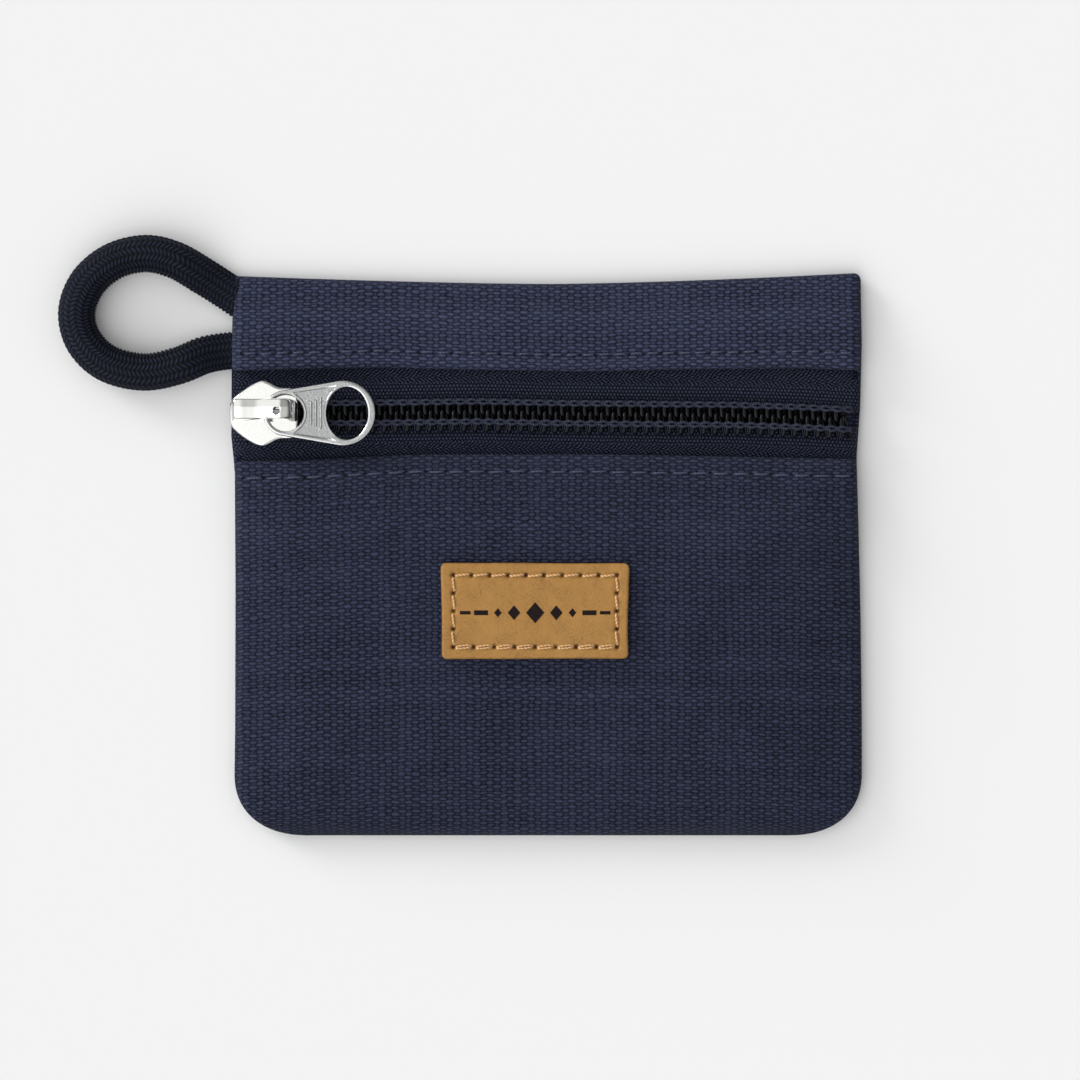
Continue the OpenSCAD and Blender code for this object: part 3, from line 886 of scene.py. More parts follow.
def turned_edge(last, direction):
    """Rows of points that go on from the last one: round a fold and back under the cloth."""
    x, y, z = last.T
    middle = z - TURN_R
    rows = []
    for turn in np.linspace(0, math.pi, 9)[1:]:
        drawn = 1 - 0.022 * turn / math.pi
        rows.append(np.stack([x * drawn, y + direction * TURN_R * math.sin(turn),
                              middle + (z - middle) * math.cos(turn)], 1))
    for back in np.linspace(0, HEM, 7)[1:]:
        rows.append(np.stack([x * drawn, y - direction * back, 2 * middle - z], 1))
    return rows


def add_cloth(shells, grid, thickness, cloth):
    """Adds a sheet below a grid of points, which each have a place on the cloth."""
    points, faces = thick_sheet(grid, thickness)
    shells.add(points, faces, np.concatenate([cloth.reshape(-1, 3)] * 2))


def make_front():
    u = columns(230)
    rise = [0, 0.04, 0.12, 0.25, 0.42, 0.65, 0.95, 1.3]
    y = np.concatenate([BOTTOM + np.array(rise), np.arange(BOTTOM + 1.7, STITCH_DOWN_Y - 1, 0.42),
                        np.arange(STITCH_DOWN_Y - 1, PANEL_Y - TURN_R, 0.2),
                        [PANEL_Y - TURN_R]])
    x = span(y, u)
    rows = list(np.stack([x, np.broadcast_to(y[:, None], x.shape), front_z(x, y[:, None])], 2))
    grid = np.array(rows + turned_edge(rows[-1], 1))
    grid[..., 1] += panel_bow(grid[..., 0]) * smooth((grid[..., 1] - PANEL_Y + 14) / 10)
    cloth = np.stack([arc_lengths(grid, 1), arc_lengths(grid, 0), grid[..., 2]], 2)
    cloth[..., 1] += STITCH_DOWN_Y - cloth[np.argmin(np.abs(y - STITCH_DOWN_Y)), :, 1]
    cloth[..., 0] = mix(cloth[..., 0], grid[..., 0], 0.85)
    shells = Shells()
    add_cloth(shells, grid, CANVAS_T, cloth)
    add_allowance(shells, SEAM_Z + 0.02, PANEL_Y - 0.6)
    front = shells.build("front_canvas", "pouch",
                         canvas("canvas_front", NAVY, STITCH_DOWN_Y, PITCH_DOWN),
                         ("front_panel",))


def seam_path(inwards, high, step=1.0):
    """Points along the side and bottom seams, from the left side round to the right."""
    heights = np.arange(high, BOTTOM + CORNER_H, -step)
    turn = np.linspace(0, math.pi / 2, 14)
    corner_x = HALF_W - CORNER_W + (CORNER_W - inwards) * np.cos(turn)
    corner_y = BOTTOM + CORNER_H - (CORNER_H - inwards) * np.sin(turn)
    side = np.stack([left_x(heights) + inwards, heights], 1)
    low_in = LEFT_IN[0][1]
    left = np.stack([-corner_x + low_in, corner_y], 1)
    flat_x = np.arange(-(HALF_W - CORNER_W) + 1, HALF_W - CORNER_W, step)
    flat = np.stack([flat_x, np.full(len(flat_x), BOTTOM + inwards)], 1)
    right = np.stack([corner_x - RIGHT_IN[0][1], corner_y], 1)[::-1]
    other = np.stack([right_x(heights[::-1]) - inwards, heights[::-1]], 1)
    return np.vstack([side, left, flat, right, other])


def add_ribbon(shells, near, far, low, high, top):
    """Flat ribbon along the seams, between two distances in and two heights."""
    outer, inner = seam_path(near, top), seam_path(far, top)
    steps = [(0, low), (1, low), (1, high), (0, high)]
    rings = [np.c_[mix(outer, inner, side), np.full(len(outer), z)] for side, z in steps]
    shells.add(np.stack(rings, 1), facing_down(tube_faces(len(outer), len(steps)), 0))


def add_allowance(shells, z, top):
    """The turned-in seam allowance of one panel."""
    add_ribbon(shells, 0.25, ALLOWANCE, z, z + CANVAS_T - 0.05, top)


# Heights of the back's first rows above its lower edge, and how many rows its other parts have
BACK_RISE = (0, 0.04, 0.12, 0.25, 0.42, 0.65, 0.95, 1.4)
FOLD_ROWS = 11
STRIP_ROWS = 34


def make_back():
    u = columns(210)[::-1]
    fold = TOP - TOP_SAGS - SEAM_Z
    y = np.concatenate([BOTTOM + np.array(BACK_RISE), np.arange(BOTTOM + 2, fold, 0.6), [fold]])
    x = span(y, u)
    inner = edge_distance(x, y[:, None])
    ripple = 0.05 * (1 + wobble(x, y[:, None], 9, 21)) * smooth(inner / 6)
    z = SEAM_Z * (1 - rounded(inner / SEAM_Z)) + np.clip(ripple, 0, 0.2)
    rows = list(np.stack([x, np.broadcast_to(y[:, None], x.shape), z], 2))
    crease = top_y(x[-1]) - SEAM_Z
    rows += [np.stack([x[-1], mix(y[-1], crease, t), z[-1]], 1) for t in (0.5, 1)]
    pinch = rounded(np.minimum(x[-1] - left_x(crease), right_x(crease) - x[-1]) / EDGE_ROLL)
    for turn in np.linspace(-math.pi / 2, math.pi / 2, FOLD_ROWS + 2)[1:-1]:
        high = crease + SEAM_Z * math.cos(turn)
        rows.append(np.stack([x[-1], high, SEAM_Z + SEAM_Z * math.sin(turn) * pinch], 1))
    strip_start = len(rows)
    low = STRIP_Y + TURN_R
    for t in np.linspace(0, 1, STRIP_ROWS):
        height = mix(crease, low, t)
        across = span(np.array([mix(fold, low, t)]), u)[0]
        rows.append(np.stack([across, height, strip_z(across, height)], 1))
    grid = np.array(rows + turned_edge(rows[-1], -1))
    strip = grid[strip_start:]
    stitched = strip_start + np.argmin(np.abs(strip[:STRIP_ROWS, 0, 1] - STITCH_UP_Y))
    strip[..., 1] += strip_bow(strip[..., 0]) * smooth((STRIP_Y + 9 - strip[..., 1]) / 6)
    cloth = np.stack([grid[..., 0], -arc_lengths(grid, 0), grid[..., 2]], 2)
    cloth[..., 1] += STITCH_UP_Y - cloth[stitched, :, 1]
    shells = Shells()
    add_cloth(shells, grid, CANVAS_T, cloth)
    add_allowance(shells, SEAM_Z - CANVAS_T, TOP - 4.4)
    # Painted light: the back's canvas is coloured lighter than the front's.
    back = shells.build("back_canvas", "pouch",
                        canvas("canvas_back_painted_light", shade_of(NAVY, BACK_PAINTED_LIGHT), STITCH_UP_Y, PITCH_UP),
                        ("back_panel",))


# ---- Seams inside the shell ----


def sew(name, node, inwards, heights, rate, depth, material):
    """A row of stitches along the side and bottom seams, at each of the heights."""
    shells = Shells()
    path = seam_path(inwards, PANEL_Y - 1, 0.5)
    lift = depth * np.sin(np.arange(len(path)) * rate)
    for z in heights:
        tube(shells, np.c_[path, z + lift], 0.12, 6, 2)
    shells.build(name, "pouch", material, (node,))


def make_seams(navy_thread):
    low, high = SEAM_Z - CANVAS_T - 0.1, SEAM_Z + CANVAS_T + 0.1
    sew("side_seam_stitching", "seam_thread", 1.2, (low, high), 1.3, 0.06, navy_thread)
    tape = Shells()
    sides = ((3.6, ALLOWANCE + 0.25, low - 0.15, low), (3.6, ALLOWANCE + 0.25, high, high + 0.15),
             (ALLOWANCE + 0.05, ALLOWANCE + 0.3, low - 0.1, high + 0.1))
    for near, far, bottom, top in sides:
        add_ribbon(tape, near, far, bottom, top, PANEL_Y - 1)
    bias = canvas("binding_cloth", shade_of(NAVY, BINDING_SHADE))
    binding = tape.build("seam_binding_tape", "pouch", bias, ("seam_binding",))
    sew("binding_stitching", "binding_thread", 4.4, (high + 0.25,), 1.3, 0.05, navy_thread)


# ---- Zip ----


SIDE_NAMES = {1: "upper", -1: "lower"}
TAPE_T = 0.42


def make_tape(side, material):
    """One tape: flat under the canvas, lifting a little towards the chain."""
    name = SIDE_NAMES[side]
    x = np.linspace(-1, 1, 181)
    away = np.concatenate([np.linspace(1.15, 7.2, 34), np.linspace(7.6, 13.1, 8)])
    u, d = np.meshgrid(x, away)
    y = chain_y(u * HALF_W) + side * d
    ends = np.where(d > 6, 1.2, 0.05)
    px = np.where(u < 0, mix(0, left_x(y) + ends, -u), mix(0, right_x(y) - ends, u))
    gap = np.minimum(px - left_x(y), right_x(y) - px)
    reveal = STRIP_Y - ZIP_Y if side > 0 else ZIP_Y - PANEL_Y
    sway = 0.12 * wobble(px, y, 5, 7) * smooth((reveal - d) / 2)
    z = TAPE_TOP + sway + 0.25 * smooth((3.2 - d) / 2) - 0.15 * smooth((d - 3.2) / 1.5)
    z = np.minimum(z, TAPE_TOP + 0.25)
    z = SEAM_Z + (z - SEAM_Z) * rounded(gap / 1.6)
    grid = np.stack([px, y, z], 2)
    if side < 0:
        grid = grid[::-1]
    cloth = np.stack([grid[..., 0], grid[..., 1] - chain_y(grid[..., 0]), grid[..., 2]], 2)
    shells = Shells()
    add_cloth(shells, grid, TAPE_T, cloth)
    tape = shells.build(f"tape_{name}", "pouch", material, (f"zip_tape_{name}",))


COIL_R = 0.33
COIL_Z = (TAPE_TOP + COIL_TOP) / 2 + 0.1
COIL_STEPS = 22
SPREAD_X = NOSE_X + 4.2
JOINED_X = NOSE_X + 6.8
CHAIN_END = HALF_W - 0.9


def parted(x):
    """How far each coil stands aside where the slider's post parts the chain."""
    return 1.05 * (1 - smooth((x - SPREAD_X) / (JOINED_X - SPREAD_X)))


def dive(x):
    """How far the chain sinks as it enters the side seams."""
    return -0.7 * smooth((np.abs(x) - (CHAIN_END - 3)) / 3)


# Reach of each coil from the middle of the chain, which lies rolled a little towards the top
REACH = {1: 2.2, -1: 3.0}
# How far along each coil starts, so that the turns of the two interlock
COIL_LEAD = {1: 0, -1: COIL_PITCH / 2}
HEAD = 0.62


def make_coil(side, material):
    name = SIDE_NAMES[side]
    turns = int(2 * CHAIN_END / COIL_PITCH) - 1
    theta = np.arange(0, turns * COIL_STEPS + 1) * 2 * math.pi / COIL_STEPS
    lead = COIL_LEAD[side]
    x = -CHAIN_END + lead + COIL_PITCH / (2 * math.pi) * (theta + 0.85 * np.cos(theta))
    c, s = np.cos(theta), np.sin(theta)
    middle = (REACH[side] - HEAD) / 2
    wide = (REACH[side] + HEAD) / 2 - COIL_R
    tall = (COIL_TOP - TAPE_TOP) / 2 - COIL_R
    y = middle + wide * np.sign(c) * np.abs(c) ** 0.75 + parted(x)
    z = COIL_Z + tall * np.sign(s) * np.abs(s) ** 0.6 + dive(x)
    z = z - side * 0.06 * (y - middle)
    head = np.exp(-((theta % (2 * math.pi) - math.pi) / 0.55) ** 2)
    shells = Shells()
    tube(shells, np.stack([x, chain_y(x) + side * y, z], 1), COIL_R * (1 + 0.14 * head), 8)
    shells.build(f"coil_{name}_helix", "pouch", material, (f"coil_{name}",))


def make_core(side, material):
    name = SIDE_NAMES[side]
    x = np.arange(-CHAIN_END, CHAIN_END, 0.4)
    y = chain_y(x) + side * (1.25 + parted(x))
    shells = Shells()
    tube(shells, np.stack([x, y, COIL_Z + dive(x)], 1), 0.3, 10, 2, 3.0)
    shells.build(f"core_{name}_cord", "pouch", material, (f"coil_core_{name}",))


CHAIN_STITCH_Y = 1.43


def make_chain_stitch(side, material):
    """Two strands that part and meet once for each turn of the coil, and their tie-downs."""
    name = SIDE_NAMES[side]
    x = np.arange(-CHAIN_END + 0.6, CHAIN_END - 0.6, COIL_PITCH / 9)
    phase = (x + CHAIN_END - COIL_LEAD[side]) / COIL_PITCH + 0.1
    open_by = np.sin(math.pi * phase) ** 2
    row = chain_y(x) + side * (CHAIN_STITCH_Y + parted(x))
    z = COIL_TOP + 0.12 + dive(x) - 0.16 * (1 - open_by)
    shells = Shells()
    for strand in (-1, 1):
        y = row + strand * (0.11 + 0.22 * open_by)
        tube(shells, np.stack([x, y, z], 1), 0.21, 7, 2, 0.9)
    reach = REACH[side]
    for i in range(int(phase[0]) + 1, int(phase[-1])):
        start = np.interp(i, phase, x)
        base = chain_y(start)
        for k in (-0.12, 0.14):
            fall = [(CHAIN_STITCH_Y + 0.12, COIL_TOP + 0.1),
                    (mix(CHAIN_STITCH_Y, reach, 0.6), COIL_TOP + 0.02),
                    (reach - 0.1, COIL_TOP - 0.45), (reach + 0.08, TAPE_TOP + 0.5),
                    (reach + 0.1, TAPE_TOP - 0.05)]
            path = [[start + k + 0.11 * j, base + side * (d + parted(start)), h + dive(start)]
                    for j, (d, h) in enumerate(fall)]
            tube(shells, catmull(path, 3), 0.055, 6, 2, 0.7)
    shells.build(f"chain_stitch_{name}", "pouch", material, (f"coil_thread_{name}",))


# ---- Sewing threads ----


def stitch_path(x0, x1, y, height, sink=0.55):
    """Middle of one stitch: up out of one hole, along the cloth and down into the next."""
    t = np.linspace(0, 1, 11)
    x = mix(x0, x1, t)
    along = 2 * t - 1
    return np.stack([x, y + 0.05 * along, height(x) - sink * np.abs(along) ** 6], 1)


BOBBIN_Z = TAPE_TOP - 0.8


def make_topstitch(name, node, line, pitch, surface, bow, material):
    """A row of stitches on the cloth, and the bobbin thread under the tape."""
    shells = Shells()
    count = int((2 * HALF_W - 1.6) / pitch)
    first = -(count // 2)
    rng = np.random.default_rng(17)
    for i in range(first, first + count):
        start, end = i * pitch, (i + 1) * pitch
        if start < left_x(line) + 0.4 or end > right_x(line) - 0.4:
            continue
        shake = rng.uniform(-0.05, 0.05)
        path = stitch_path(start + 0.32, end - 0.26, line + shake,
                           lambda x: surface(x, line + 0 * x) + 0.12)
        path[:, 1] += bow(path[:, 0])
        tube(shells, path, 0.14, 8, 2, 0.8)
        if max(abs(start), abs(end)) < HALF_W - 9:
            below = stitch_path(start + 0.12, end - 0.12, line, lambda x: BOBBIN_Z + 0 * x, -0.4)
            tube(shells, below, 0.17, 8, 2, 0.8)
    shells.build(name, "pouch", material, (node,))


# ---- Leather label ----

LABEL_CORNER = 0.8
STITCH_IN = 1.7
LABEL_X = (LABEL_LOW[0] + LABEL_HIGH[0]) / 2
LABEL_Y = (LABEL_LOW[1] + LABEL_HIGH[1]) / 2
LABEL_W = LABEL_HIGH[0] - LABEL_LOW[0]
LABEL_H = LABEL_HIGH[1] - LABEL_LOW[1]
LABEL_T = 1.15


def label_holes():
    """Needle holes: ten along the top, nine along the bottom and three more up each side."""
    w, h = LABEL_W / 2 - STITCH_IN, LABEL_H / 2 - STITCH_IN
    top = [(x, h) for x in np.linspace(-w, w, 10)]
    bottom = [(x, -h) for x in np.linspace(-w, w, 9)]
    sides = [(s * w, y) for s in (-1, 1) for y in np.linspace(-h, h, 5)[1:-1]]
    return top, bottom, sides


def label_top(x, y):
    """Upper face of the label over the panel, dished at its stitches."""
    lx, ly = x - LABEL_X, y - LABEL_Y
    base = 0.25 * (front_z(x, y) - LABEL_LOW[2]) + LABEL_LOW[2]
    dx, dy = LABEL_W / 2 - np.abs(lx), LABEL_H / 2 - np.abs(ly)
    frame_line = np.minimum(np.abs(dx - STITCH_IN) + 9 * (dy < STITCH_IN - 0.3),
                            np.abs(dy - STITCH_IN) + 9 * (dx < STITCH_IN - 0.3))
    z = base + LABEL_T - 0.1 * np.exp(-(frame_line / 0.45) ** 2) + 0.03 * wobble(x, y, 2.2, 31)
    # dark is the painted shade in the needle holes.
    dark = np.zeros_like(z)
    for hx, hy in sum(label_holes(), []):
        away = np.hypot(lx - hx, ly - hy)
        z = z - 0.5 * np.exp(-(away / 0.3) ** 2)
        dark = np.maximum(dark, np.exp(-(away / 0.33) ** 4))
    return z, dark


def make_label():
    """Grid whose cells are squeezed into the rounded corners, closed by a flat back."""
    cols, rows = 190, 104
    s, t = np.meshgrid(columns(cols), columns(rows))
    w, h = LABEL_W / 2, LABEL_H / 2
    half = w - LABEL_CORNER * (1 - rounded((1 - np.abs(t)) * h / LABEL_CORNER))
    ragged = 1 + 0.006 * wobble(t * 6, s * 2, 2, 41) * (np.abs(s) > 0.9)
    lx, ly = s * half * ragged, t * h * (1 + 0.006 * wobble(s * 9, t, 2, 43))
    x, y = lx + LABEL_X, ly + LABEL_Y
    z, dark = label_top(x, y)
    edge = np.minimum((1 - np.abs(s)) * half, (1 - np.abs(t)) * h)
    z = z - 0.35 * (1 - rounded(edge / 0.4))
    rim_dark = 0.55 * np.exp(-edge / 0.1)
    base = 0 * z + LABEL_LOW[2] - 0.35
    # Painted shade in the needle holes and the darker cut edge go to the leather through the cloth
    # attribute; the flat back takes 0.6.
    hole_shade_and_dark_edge = np.maximum(dark, rim_dark)
    faces = grid_faces(rows, cols)
    faces = faces + sheet_rim(rows, cols) + facing_down(faces, rows * cols)
    shells = Shells()
    shells.add(np.stack([[x, x], [y, y], [z, base]], -1), faces,
               np.stack([[x, x], [y, y], [hole_shade_and_dark_edge, 0 * z + 0.6]], -1))
    shells.build("leather_label", "pouch", leather("tan_leather", (0.335, 0.172, 0.046)),
                 ("label_patch",))


def make_label_thread(material):
    shells = Shells()
    rng = np.random.default_rng(5)
    top, bottom, _ = label_holes()
    w, h = LABEL_W / 2 - STITCH_IN, LABEL_H / 2 - STITCH_IN
    side_y = np.linspace(-h, h, 5)

    def surface(x, y):
        return label_top(np.array([x + LABEL_X]), np.array([y + LABEL_Y]))[0][0]

    def stitch(a, b, offset, radius):
        a, b = np.array(a, float), np.array(b, float)
        ahead = (b - a) / np.linalg.norm(b - a)
        across = np.array([-ahead[1], ahead[0]]) * offset
        level = 0.5 * (surface(*mix(a, b, 0.35)) + surface(*mix(a, b, 0.65))) + radius * 0.75
        points = []
        for t in np.linspace(0, 1, 11):
            tilt = np.array([-ahead[1], ahead[0]]) * 0.13 * (2 * t - 1)
            run = mix(a + ahead * 0.26, b - ahead * 0.28, t)
            x, y = run + across * math.sin(math.pi * t) ** 0.4 + tilt
            sink = 0.55 * abs(2 * t - 1) ** 6
            points.append([x + LABEL_X, y + LABEL_Y, level - sink])
        tube(shells, points, radius, 9, 2, 1.0)

    for a, b in zip(top, top[1:]):
        stitch(a, b, rng.uniform(-0.08, 0.08), 0.17)
    for a, b in zip(bottom, bottom[1:]):
        stitch(a, b, 0.2, 0.14)
        stitch(a, b, -0.2, 0.14)
    for side in (-1, 1):
        for a, b in zip(side_y, side_y[1:]):
            stitch((side * w, a), (side * w, b), rng.uniform(-0.08, 0.08), 0.17)
    shells.build("label_stitching", "pouch", material, ("label_thread",))


def make_label_mark():
    """Generic ornament: a diamond between tapered rules, lying in the leather's surface."""
    shells = Shells()

    def patch(outline):
        outline = np.array(outline, float) + [LABEL_X, LABEL_Y]
        high = label_top(outline[:, 0], outline[:, 1])[0].max()
        plate(shells, outline, [], high - 0.12, high + 0.035, 0.03, steps=2)

    def diamond(x, w, h):
        patch([(x + w, middle_y), (x, middle_y + h), (x - w, middle_y), (x, middle_y - h)])

    middle_y = -0.25
    diamond(0, 1.3, 1.5)
    for side in (-1, 1):
        diamond(side * 3.0, 0.9, 1.05)
        diamond(side * 5.3, 0.55, 0.65)
        for start, end, thick in ((6.7, 8.7, 0.34), (9.2, 10.7, 0.24)):
            low, high = sorted((side * start, side * end))
            patch([(low, middle_y - thick), (high, middle_y - thick),
                   (high, middle_y + thick), (low, middle_y + thick)])
    shells.build("label_ornament", "pouch", printed("dark_ink", (0.011, 0.007, 0.007)),
                 ())


# ---- Slider ----


def slider_outline():
    half = [(0, 0.95), (0.35, 1.9), (0.9, 2.5), (1.8, 3.25), (2.9, 4.0), (4.0, 4.55), (4.9, 4.68),
            (5.7, 4.4), (6.5, 3.95), (7.4, 3.68), (8.8, 3.62), (9.5, 3.45), (9.8, 3.0)]
    ring = half + [(x, -y) for x, y in reversed(half)]
    loop = catmull(ring, 4, closed=True)
    return loop[::-1] + [NOSE_X, ZIP_Y - 0.2]


def make_slider_body(material):
    shells = Shells()
    outline = slider_outline()
    plate(shells, outline, [], DECK_Z - 0.95, DECK_Z, 0.4, steps=6)
    low_z = SLIDER_LOW[2]
    smaller = inset(outline, 0.15)
    plate(shells, smaller, [], low_z, low_z + 0.85, 0.25)
    post = [(1.5, 0), (2.2, -0.85), (3.2, -0.85), (4.5, 0), (3.2, 0.85), (2.2, 0.85)]
    plate(shells, catmull(post, 4, closed=True) + [NOSE_X, ZIP_Y], [], low_z + 0.4,
          DECK_Z - 0.5, 0.05)
    for side in (-1, 1):
        wall = [(4.4, 4.5), (5.4, 4.2), (6.5, 3.55), (8.8, 3.4), (8.8, 3.05), (6.4, 3.1),
                (5.2, 3.75), (4.4, 4.1)]
        ring = np.array([(x, side * y) for x, y in wall])
        ring = ring[::-1] if side > 0 else ring
        plate(shells, ring + [NOSE_X, ZIP_Y], [], TAPE_TOP + 0.35, DECK_Z - 0.4, 0.04)
    shells.build("slider_plates", "slider", material, ("slider_body",))


def crown_profile():
    """Outer and inner side views of the crown, as [x, z] points from the nose's side."""
    outer = [(0.45, DECK_Z - 0.25), (0.35, DECK_Z + 0.9), (0.4, DECK_Z + 1.9),
             (0.65, DECK_Z + 2.5), (1.3, DECK_Z + 2.75), (2.8, DECK_Z + 2.72),
             (4.4, DECK_Z + 2.69), (5.2, DECK_Z + 2.88), (6.2, CROWN_TOP - 0.14),
             (7.3, CROWN_TOP - 0.02), (8.0, CROWN_TOP - 0.16), (8.7, CROWN_TOP - 0.65),
             (9.25, CROWN_TOP - 1.4), (9.6, CROWN_TOP - 2.4), (9.65, DECK_Z - 0.25)]
    inner = [(8.5, DECK_Z - 0.25), (8.4, DECK_Z + 0.9), (8.2, DECK_Z + 2.0),
             (7.6, DECK_Z + 2.68), (5.9, DECK_Z + 2.64), (5.1, DECK_Z + 2.48),
             (4.4, DECK_Z + 1.8), (4.0, DECK_Z + 0.9), (3.9, DECK_Z - 0.25)]
    return catmull(outer, 4), catmull(inner, 5)


CROWN_HALF = 1.42
CROWN_Y = 0.42
CROWN_RIDGE = 0.18
# Slices across the crown, and how far its profile is cut back towards the two side faces
CROWN_SLICES = (-1, -0.97, -0.9, -0.78, -0.5, 0.1, 0.18, 0.26, 0.6, 0.8, 0.9, 0.97, 1)
CROWN_CUTS = ((0.8, 0.9, 0.97, 1), (0, 0.04, 0.12, 0.24))


def make_crown(material):
    """Arched bar with a roof-shaped top and rounded long edges."""
    outer, inner = crown_profile()
    ring = np.vstack([outer, inner])
    rings = []
    for share in CROWN_SLICES:
        x, z = inset(ring, -np.interp(abs(share), *CROWN_CUTS)).T
        roof = np.zeros(len(ring))
        roof[:len(outer)] = -0.3 * max(abs(share - CROWN_RIDGE) - 0.04, 0)
        lean = CROWN_Y * smooth((z - DECK_Z - 0.3) / 2.6)
        y = ZIP_Y + share * CROWN_HALF + lean
        rings.append(np.stack([NOSE_X + x, y, z + roof * (z > DECK_Z)], 1))
    faces = tube_faces(len(rings), len(ring))
    shells = Shells()
    shells.add(np.array(rings), faces, flat=range(len(faces) - 2, len(faces)))
    crown = shells.build("slider_arch", "slider", material, ("slider_crown",))
    cut_window(crown)


def cut_window(crown):
    """Square window in the top of the crown, over the pawl."""
    tool = bpy.data.meshes.new("window")
    form = bmesh.new()
    bmesh.ops.create_cube(form, size=1)
    size = Vector((0.9, 1.0, 3.4)) * MM
    place = Vector((NOSE_X + 6.85, ZIP_Y + CROWN_Y - 0.25, CROWN_TOP)) * MM
    for vert in form.verts:
        vert.co = Vector([c * s for c, s in zip(vert.co, size)]) + place
    bmesh.ops.bevel(form, geom=form.edges[:], offset=0.12 * MM, segments=3, affect="EDGES")
    form.to_mesh(tool)
    form.free()
    cutter = link("window", tool)
    cut = crown.modifiers.new("Window", "BOOLEAN")
    cut.operation = "DIFFERENCE"
    cut.object = cutter
    bake_modifiers(crown)
    bpy.data.objects.remove(cutter)


def bake_modifiers(obj):
    graph = bpy.context.evaluated_depsgraph_get()
    mesh = bpy.data.meshes.new_from_object(obj.evaluated_get(graph), depsgraph=graph)
    obj.modifiers.clear()
    obj.data = mesh


# How much further along than in the CAD the pawl starts, which leaves it room to lift
PAWL_SHORTER = 1.3


def make_pawl(material):
    """Bent steel pawl under the crown, with its tip down through the deck."""
    low, high = box_mm("lock_pawl")
    low[0] += PAWL_SHORTER
    side = [(low[0], high[2] - 0.3), (high[0] - 0.72, high[2] - 0.3), (high[0] - 0.62, low[2] + 0.2),
            (high[0] - 0.4, low[2]), (high[0] - 0.1, low[2] + 0.25), (high[0], high[2] - 0.4),
            (high[0] - 0.15, high[2] - 0.02), (low[0] + 0.2, high[2]), (low[0], high[2] - 0.1)]
    half = (high[1] - low[1]) / 2

    def upright(points):
        return np.stack([points[:, 0], ZIP_Y + points[:, 2], points[:, 1]], 1)

    shells = Shells()
    plate(shells, catmull(side, 3, closed=True), [], -half, half, 0.08, upright)
    shells.faces = facing_down(shells.faces, 0)
    shells.build("slider_pawl", "pawl", material, ("lock_pawl",))


def make_spring(material):
    """Leaf spring, bowed a little, that holds the pawl down."""
    low, high = box_mm("pawl_spring")
    u, v = np.meshgrid(np.linspace(0, 1, 24), np.linspace(-1, 1, 7))
    taper = 1 - 0.25 * u
    x = mix(low[0], high[0], u)
    y = ZIP_Y + v * taper * (high[1] - low[1]) / 2
    z = high[2] - 0.03 + 0.02 * np.sin(math.pi * u)
    shells = Shells()
    points, faces = thick_sheet(np.stack([x, y, z], 2), 0.09)
    shells.add(points, faces)
    spring = shells.build("pawl_leaf_spring", None, material, ("pawl_spring",))
    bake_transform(spring)


# ---- Pull ----

PULL_LEAN = math.radians(4.5)
EYE_X = 2.73
EYE_HOLE = 2.58
EYE_OUTER = 3.25
TIP_X = 10.93
TIP_R = 4.66
GRIP_X = 11.5
GRIP_RX = 2.95
GRIP_RY = 3.7
PULL_HALF = 0.5


def pull_place(points):
    """From the flat pull, hinge line at the origin, to where it leans over the chain."""
    x, y, z = points.T
    return np.stack([HINGE[0] + x * math.cos(PULL_LEAN) + z * math.sin(PULL_LEAN),
                     HINGE[1] - 0.2 + y,
                     HINGE[2] - x * math.sin(PULL_LEAN) + z * math.cos(PULL_LEAN)], 1)


def pull_outline(grow=0.0):
    """Ring round the eye that widens in straight lines to the round tip."""
    touch = math.acos((EYE_OUTER - TIP_R) / (TIP_X - EYE_X))
    arcs = ((EYE_X, EYE_OUTER, touch, 2 * math.pi - touch, 40), (TIP_X, TIP_R, -touch, touch, 52))
    return np.array([(x + (radius + grow) * math.cos(a), (radius + grow) * math.sin(a))
                     for x, radius, start, end, count in arcs
                     for a in np.linspace(start, end, count)])


def pocket():
    """Recess between the eye's ring and the grip hole's rim, clockwise."""
    ring, rx, ry = EYE_HOLE + 0.5, GRIP_RX + 0.42, GRIP_RY + 0.5
    left = [(EYE_X + math.sqrt(ring ** 2 - y * y), y) for y in np.linspace(-2.85, 2.85, 15)]
    right = [(GRIP_X - rx * math.sqrt(1 - (y / ry) ** 2), y) for y in np.linspace(3.75, -3.75, 21)]
    left, right = np.array(left), np.array(right)
    top = [mix(left[-1], right[0], t) for t in (0.25, 0.5, 0.75)]
    low = [mix(right[-1], left[0], t) for t in (0.25, 0.5, 0.75)]
    return np.vstack([left, top, right, low])


def make_pull(material, cast):
    """Polished frame round both holes, and the cast web between them with its three ribs."""
    eye = circle(EYE_X, 0, EYE_HOLE, clockwise=True)
    grip = circle(GRIP_X, 0, GRIP_RX, GRIP_RY, 64, clockwise=True)
    rim = Shells()
    plate(rim, pull_outline(), [eye, pocket(), grip], -PULL_HALF, PULL_HALF, 0.32, pull_place, 6)
    rim.build("pull_frame", "pull", material, ("pull_tab",))
    web = Shells()
    around = circle(EYE_X, 0, EYE_HOLE + 0.2, clockwise=True)
    beyond = circle(GRIP_X, 0, GRIP_RX + 0.2, GRIP_RY + 0.2, 64, clockwise=True)
    plate(web, pull_outline(-0.3), [around, beyond], -0.26, 0.26, 0.04, pull_place, 2)
    for i, x in enumerate((6.35, 7.05, 7.75)):
        half = 1.5 + 0.28 * i
        rib = [(x + 0.17 * math.cos(a), math.copysign(half, math.sin(a)) + 0.17 * math.sin(a))
               for a in np.linspace(0.01, 2 * math.pi + 0.01, 24, endpoint=False)]
        plate(web, np.array(rib), [], -0.46, 0.46, 0.16, pull_place, 3)
    web.build("pull_web", "pull", cast, ())


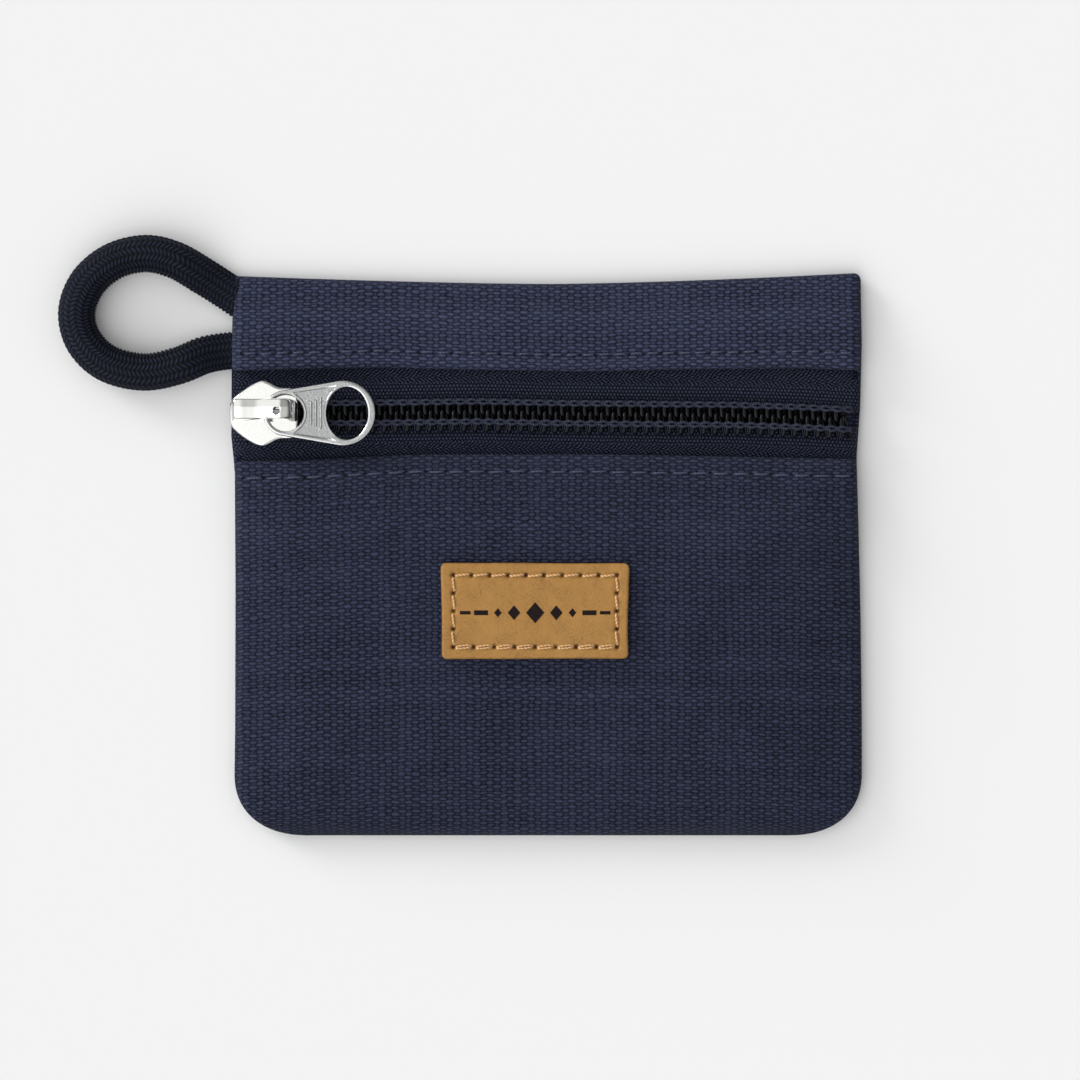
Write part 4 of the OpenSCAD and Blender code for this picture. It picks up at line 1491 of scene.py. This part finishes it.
# ---- Set and light ----

WORLD_STRENGTH = 1.165
KEY_STRENGTH = 1.64
KEY_SPREAD = math.radians(24)
KEY_DIRECTION = (0.93, -0.68, -0.32)
FLOOR_HALF = 3.0


def make_floor():
    mesh = bpy.data.meshes.new("floor")
    corners = [(x * FLOOR_HALF, y * FLOOR_HALF, 0) for x, y in ((-1, -1), (1, -1), (1, 1), (-1, 1))]
    mesh.from_pydata(corners, [], [(0, 1, 2, 3)])
    floor = link("floor", mesh)
    paper = Finish("paper", {"Base Color": (0.8, 0.8, 0.8, 1), "Roughness": 0.9,
                             "Specular IOR Level": 0.1})
    mesh.materials.append(paper.material)


def make_world():
    """Studio that is bright on the left, dim on the right and dark near the floor."""
    world = bpy.data.worlds.new("studio")
    bpy.context.scene.world = world
    world.use_nodes = True
    tree = world.node_tree
    sky = tree.nodes["Background"]
    place = tree.nodes.new("ShaderNodeTexCoord")
    split = tree.nodes.new("ShaderNodeSeparateXYZ")
    tree.links.new(place.outputs["Generated"], split.inputs[0])
    x, y, z = (Value(tree, split.outputs[i]) for i in range(3))
    side = x.step(0.12, -0.12) * 0.9 + 0.5
    back = y.step(-0.35, 0.35) * -0.5 + 1.22
    level = side * back * (z.step(0.04, 0.52) * 0.92 + 0.08)
    tree.links.new(level.socket, sky.inputs["Color"])
    sky.inputs["Strength"].default_value = WORLD_STRENGTH


def make_key():
    """Broad low lamp on the left."""
    lamp = bpy.data.lights.new("key", "SUN")
    lamp.energy = KEY_STRENGTH
    lamp.angle = KEY_SPREAD
    key = link("key", lamp)
    key.rotation_euler = Vector(KEY_DIRECTION).to_track_quat("-Z", "Y").to_euler()


def build_scene():
    make_camera()
    make_cord()
    settle_front()
    make_front()
    make_back()
    navy_thread = thread("navy_thread", (0.060, 0.069, 0.114))
    make_seams(navy_thread)
    tape = tape_cloth("tape_weave", (0.0079, 0.0097, 0.0178))
    coil = plastic("coil_nylon", (0.0022, 0.0026, 0.0036))
    core = thread("core_yarn", (0.012, 0.013, 0.022), 2)
    stitch = thread("coil_stitching", (0.024, 0.028, 0.047))
    for side in (1, -1):
        make_tape(side, tape)
        make_coil(side, coil)
        make_core(side, core)
        make_chain_stitch(side, stitch)
    make_topstitch("topstitch_strip", "topstitch_upper", STITCH_UP_Y, PITCH_UP, strip_z,
                   strip_bow, navy_thread)
    make_topstitch("topstitch_panel", "topstitch_lower", STITCH_DOWN_Y, PITCH_DOWN, front_z,
                   panel_bow, navy_thread)
    make_label()
    make_label_thread(thread("tan_thread", (0.60, 0.36, 0.17)))
    make_label_mark()
    nickel = metal("polished_nickel", (0.76, 0.76, 0.735), 0.05, 0.004)
    frame_nickel = metal("frame_nickel", (0.64, 0.65, 0.65), 0.09, 0.035)
    cast = metal("cast_nickel", (0.47, 0.48, 0.48), 0.17, 0.16)
    steel = metal("spring_steel", (0.3, 0.3, 0.33), 0.2, 0.01)
    make_slider_body(nickel)
    make_crown(nickel)
    make_pawl(steel)
    make_spring(steel)
    make_pull(frame_nickel, cast)
    make_floor()
    make_world()
    make_key()
    bpy.context.scene.view_settings.view_transform = "Standard"


build_scene()
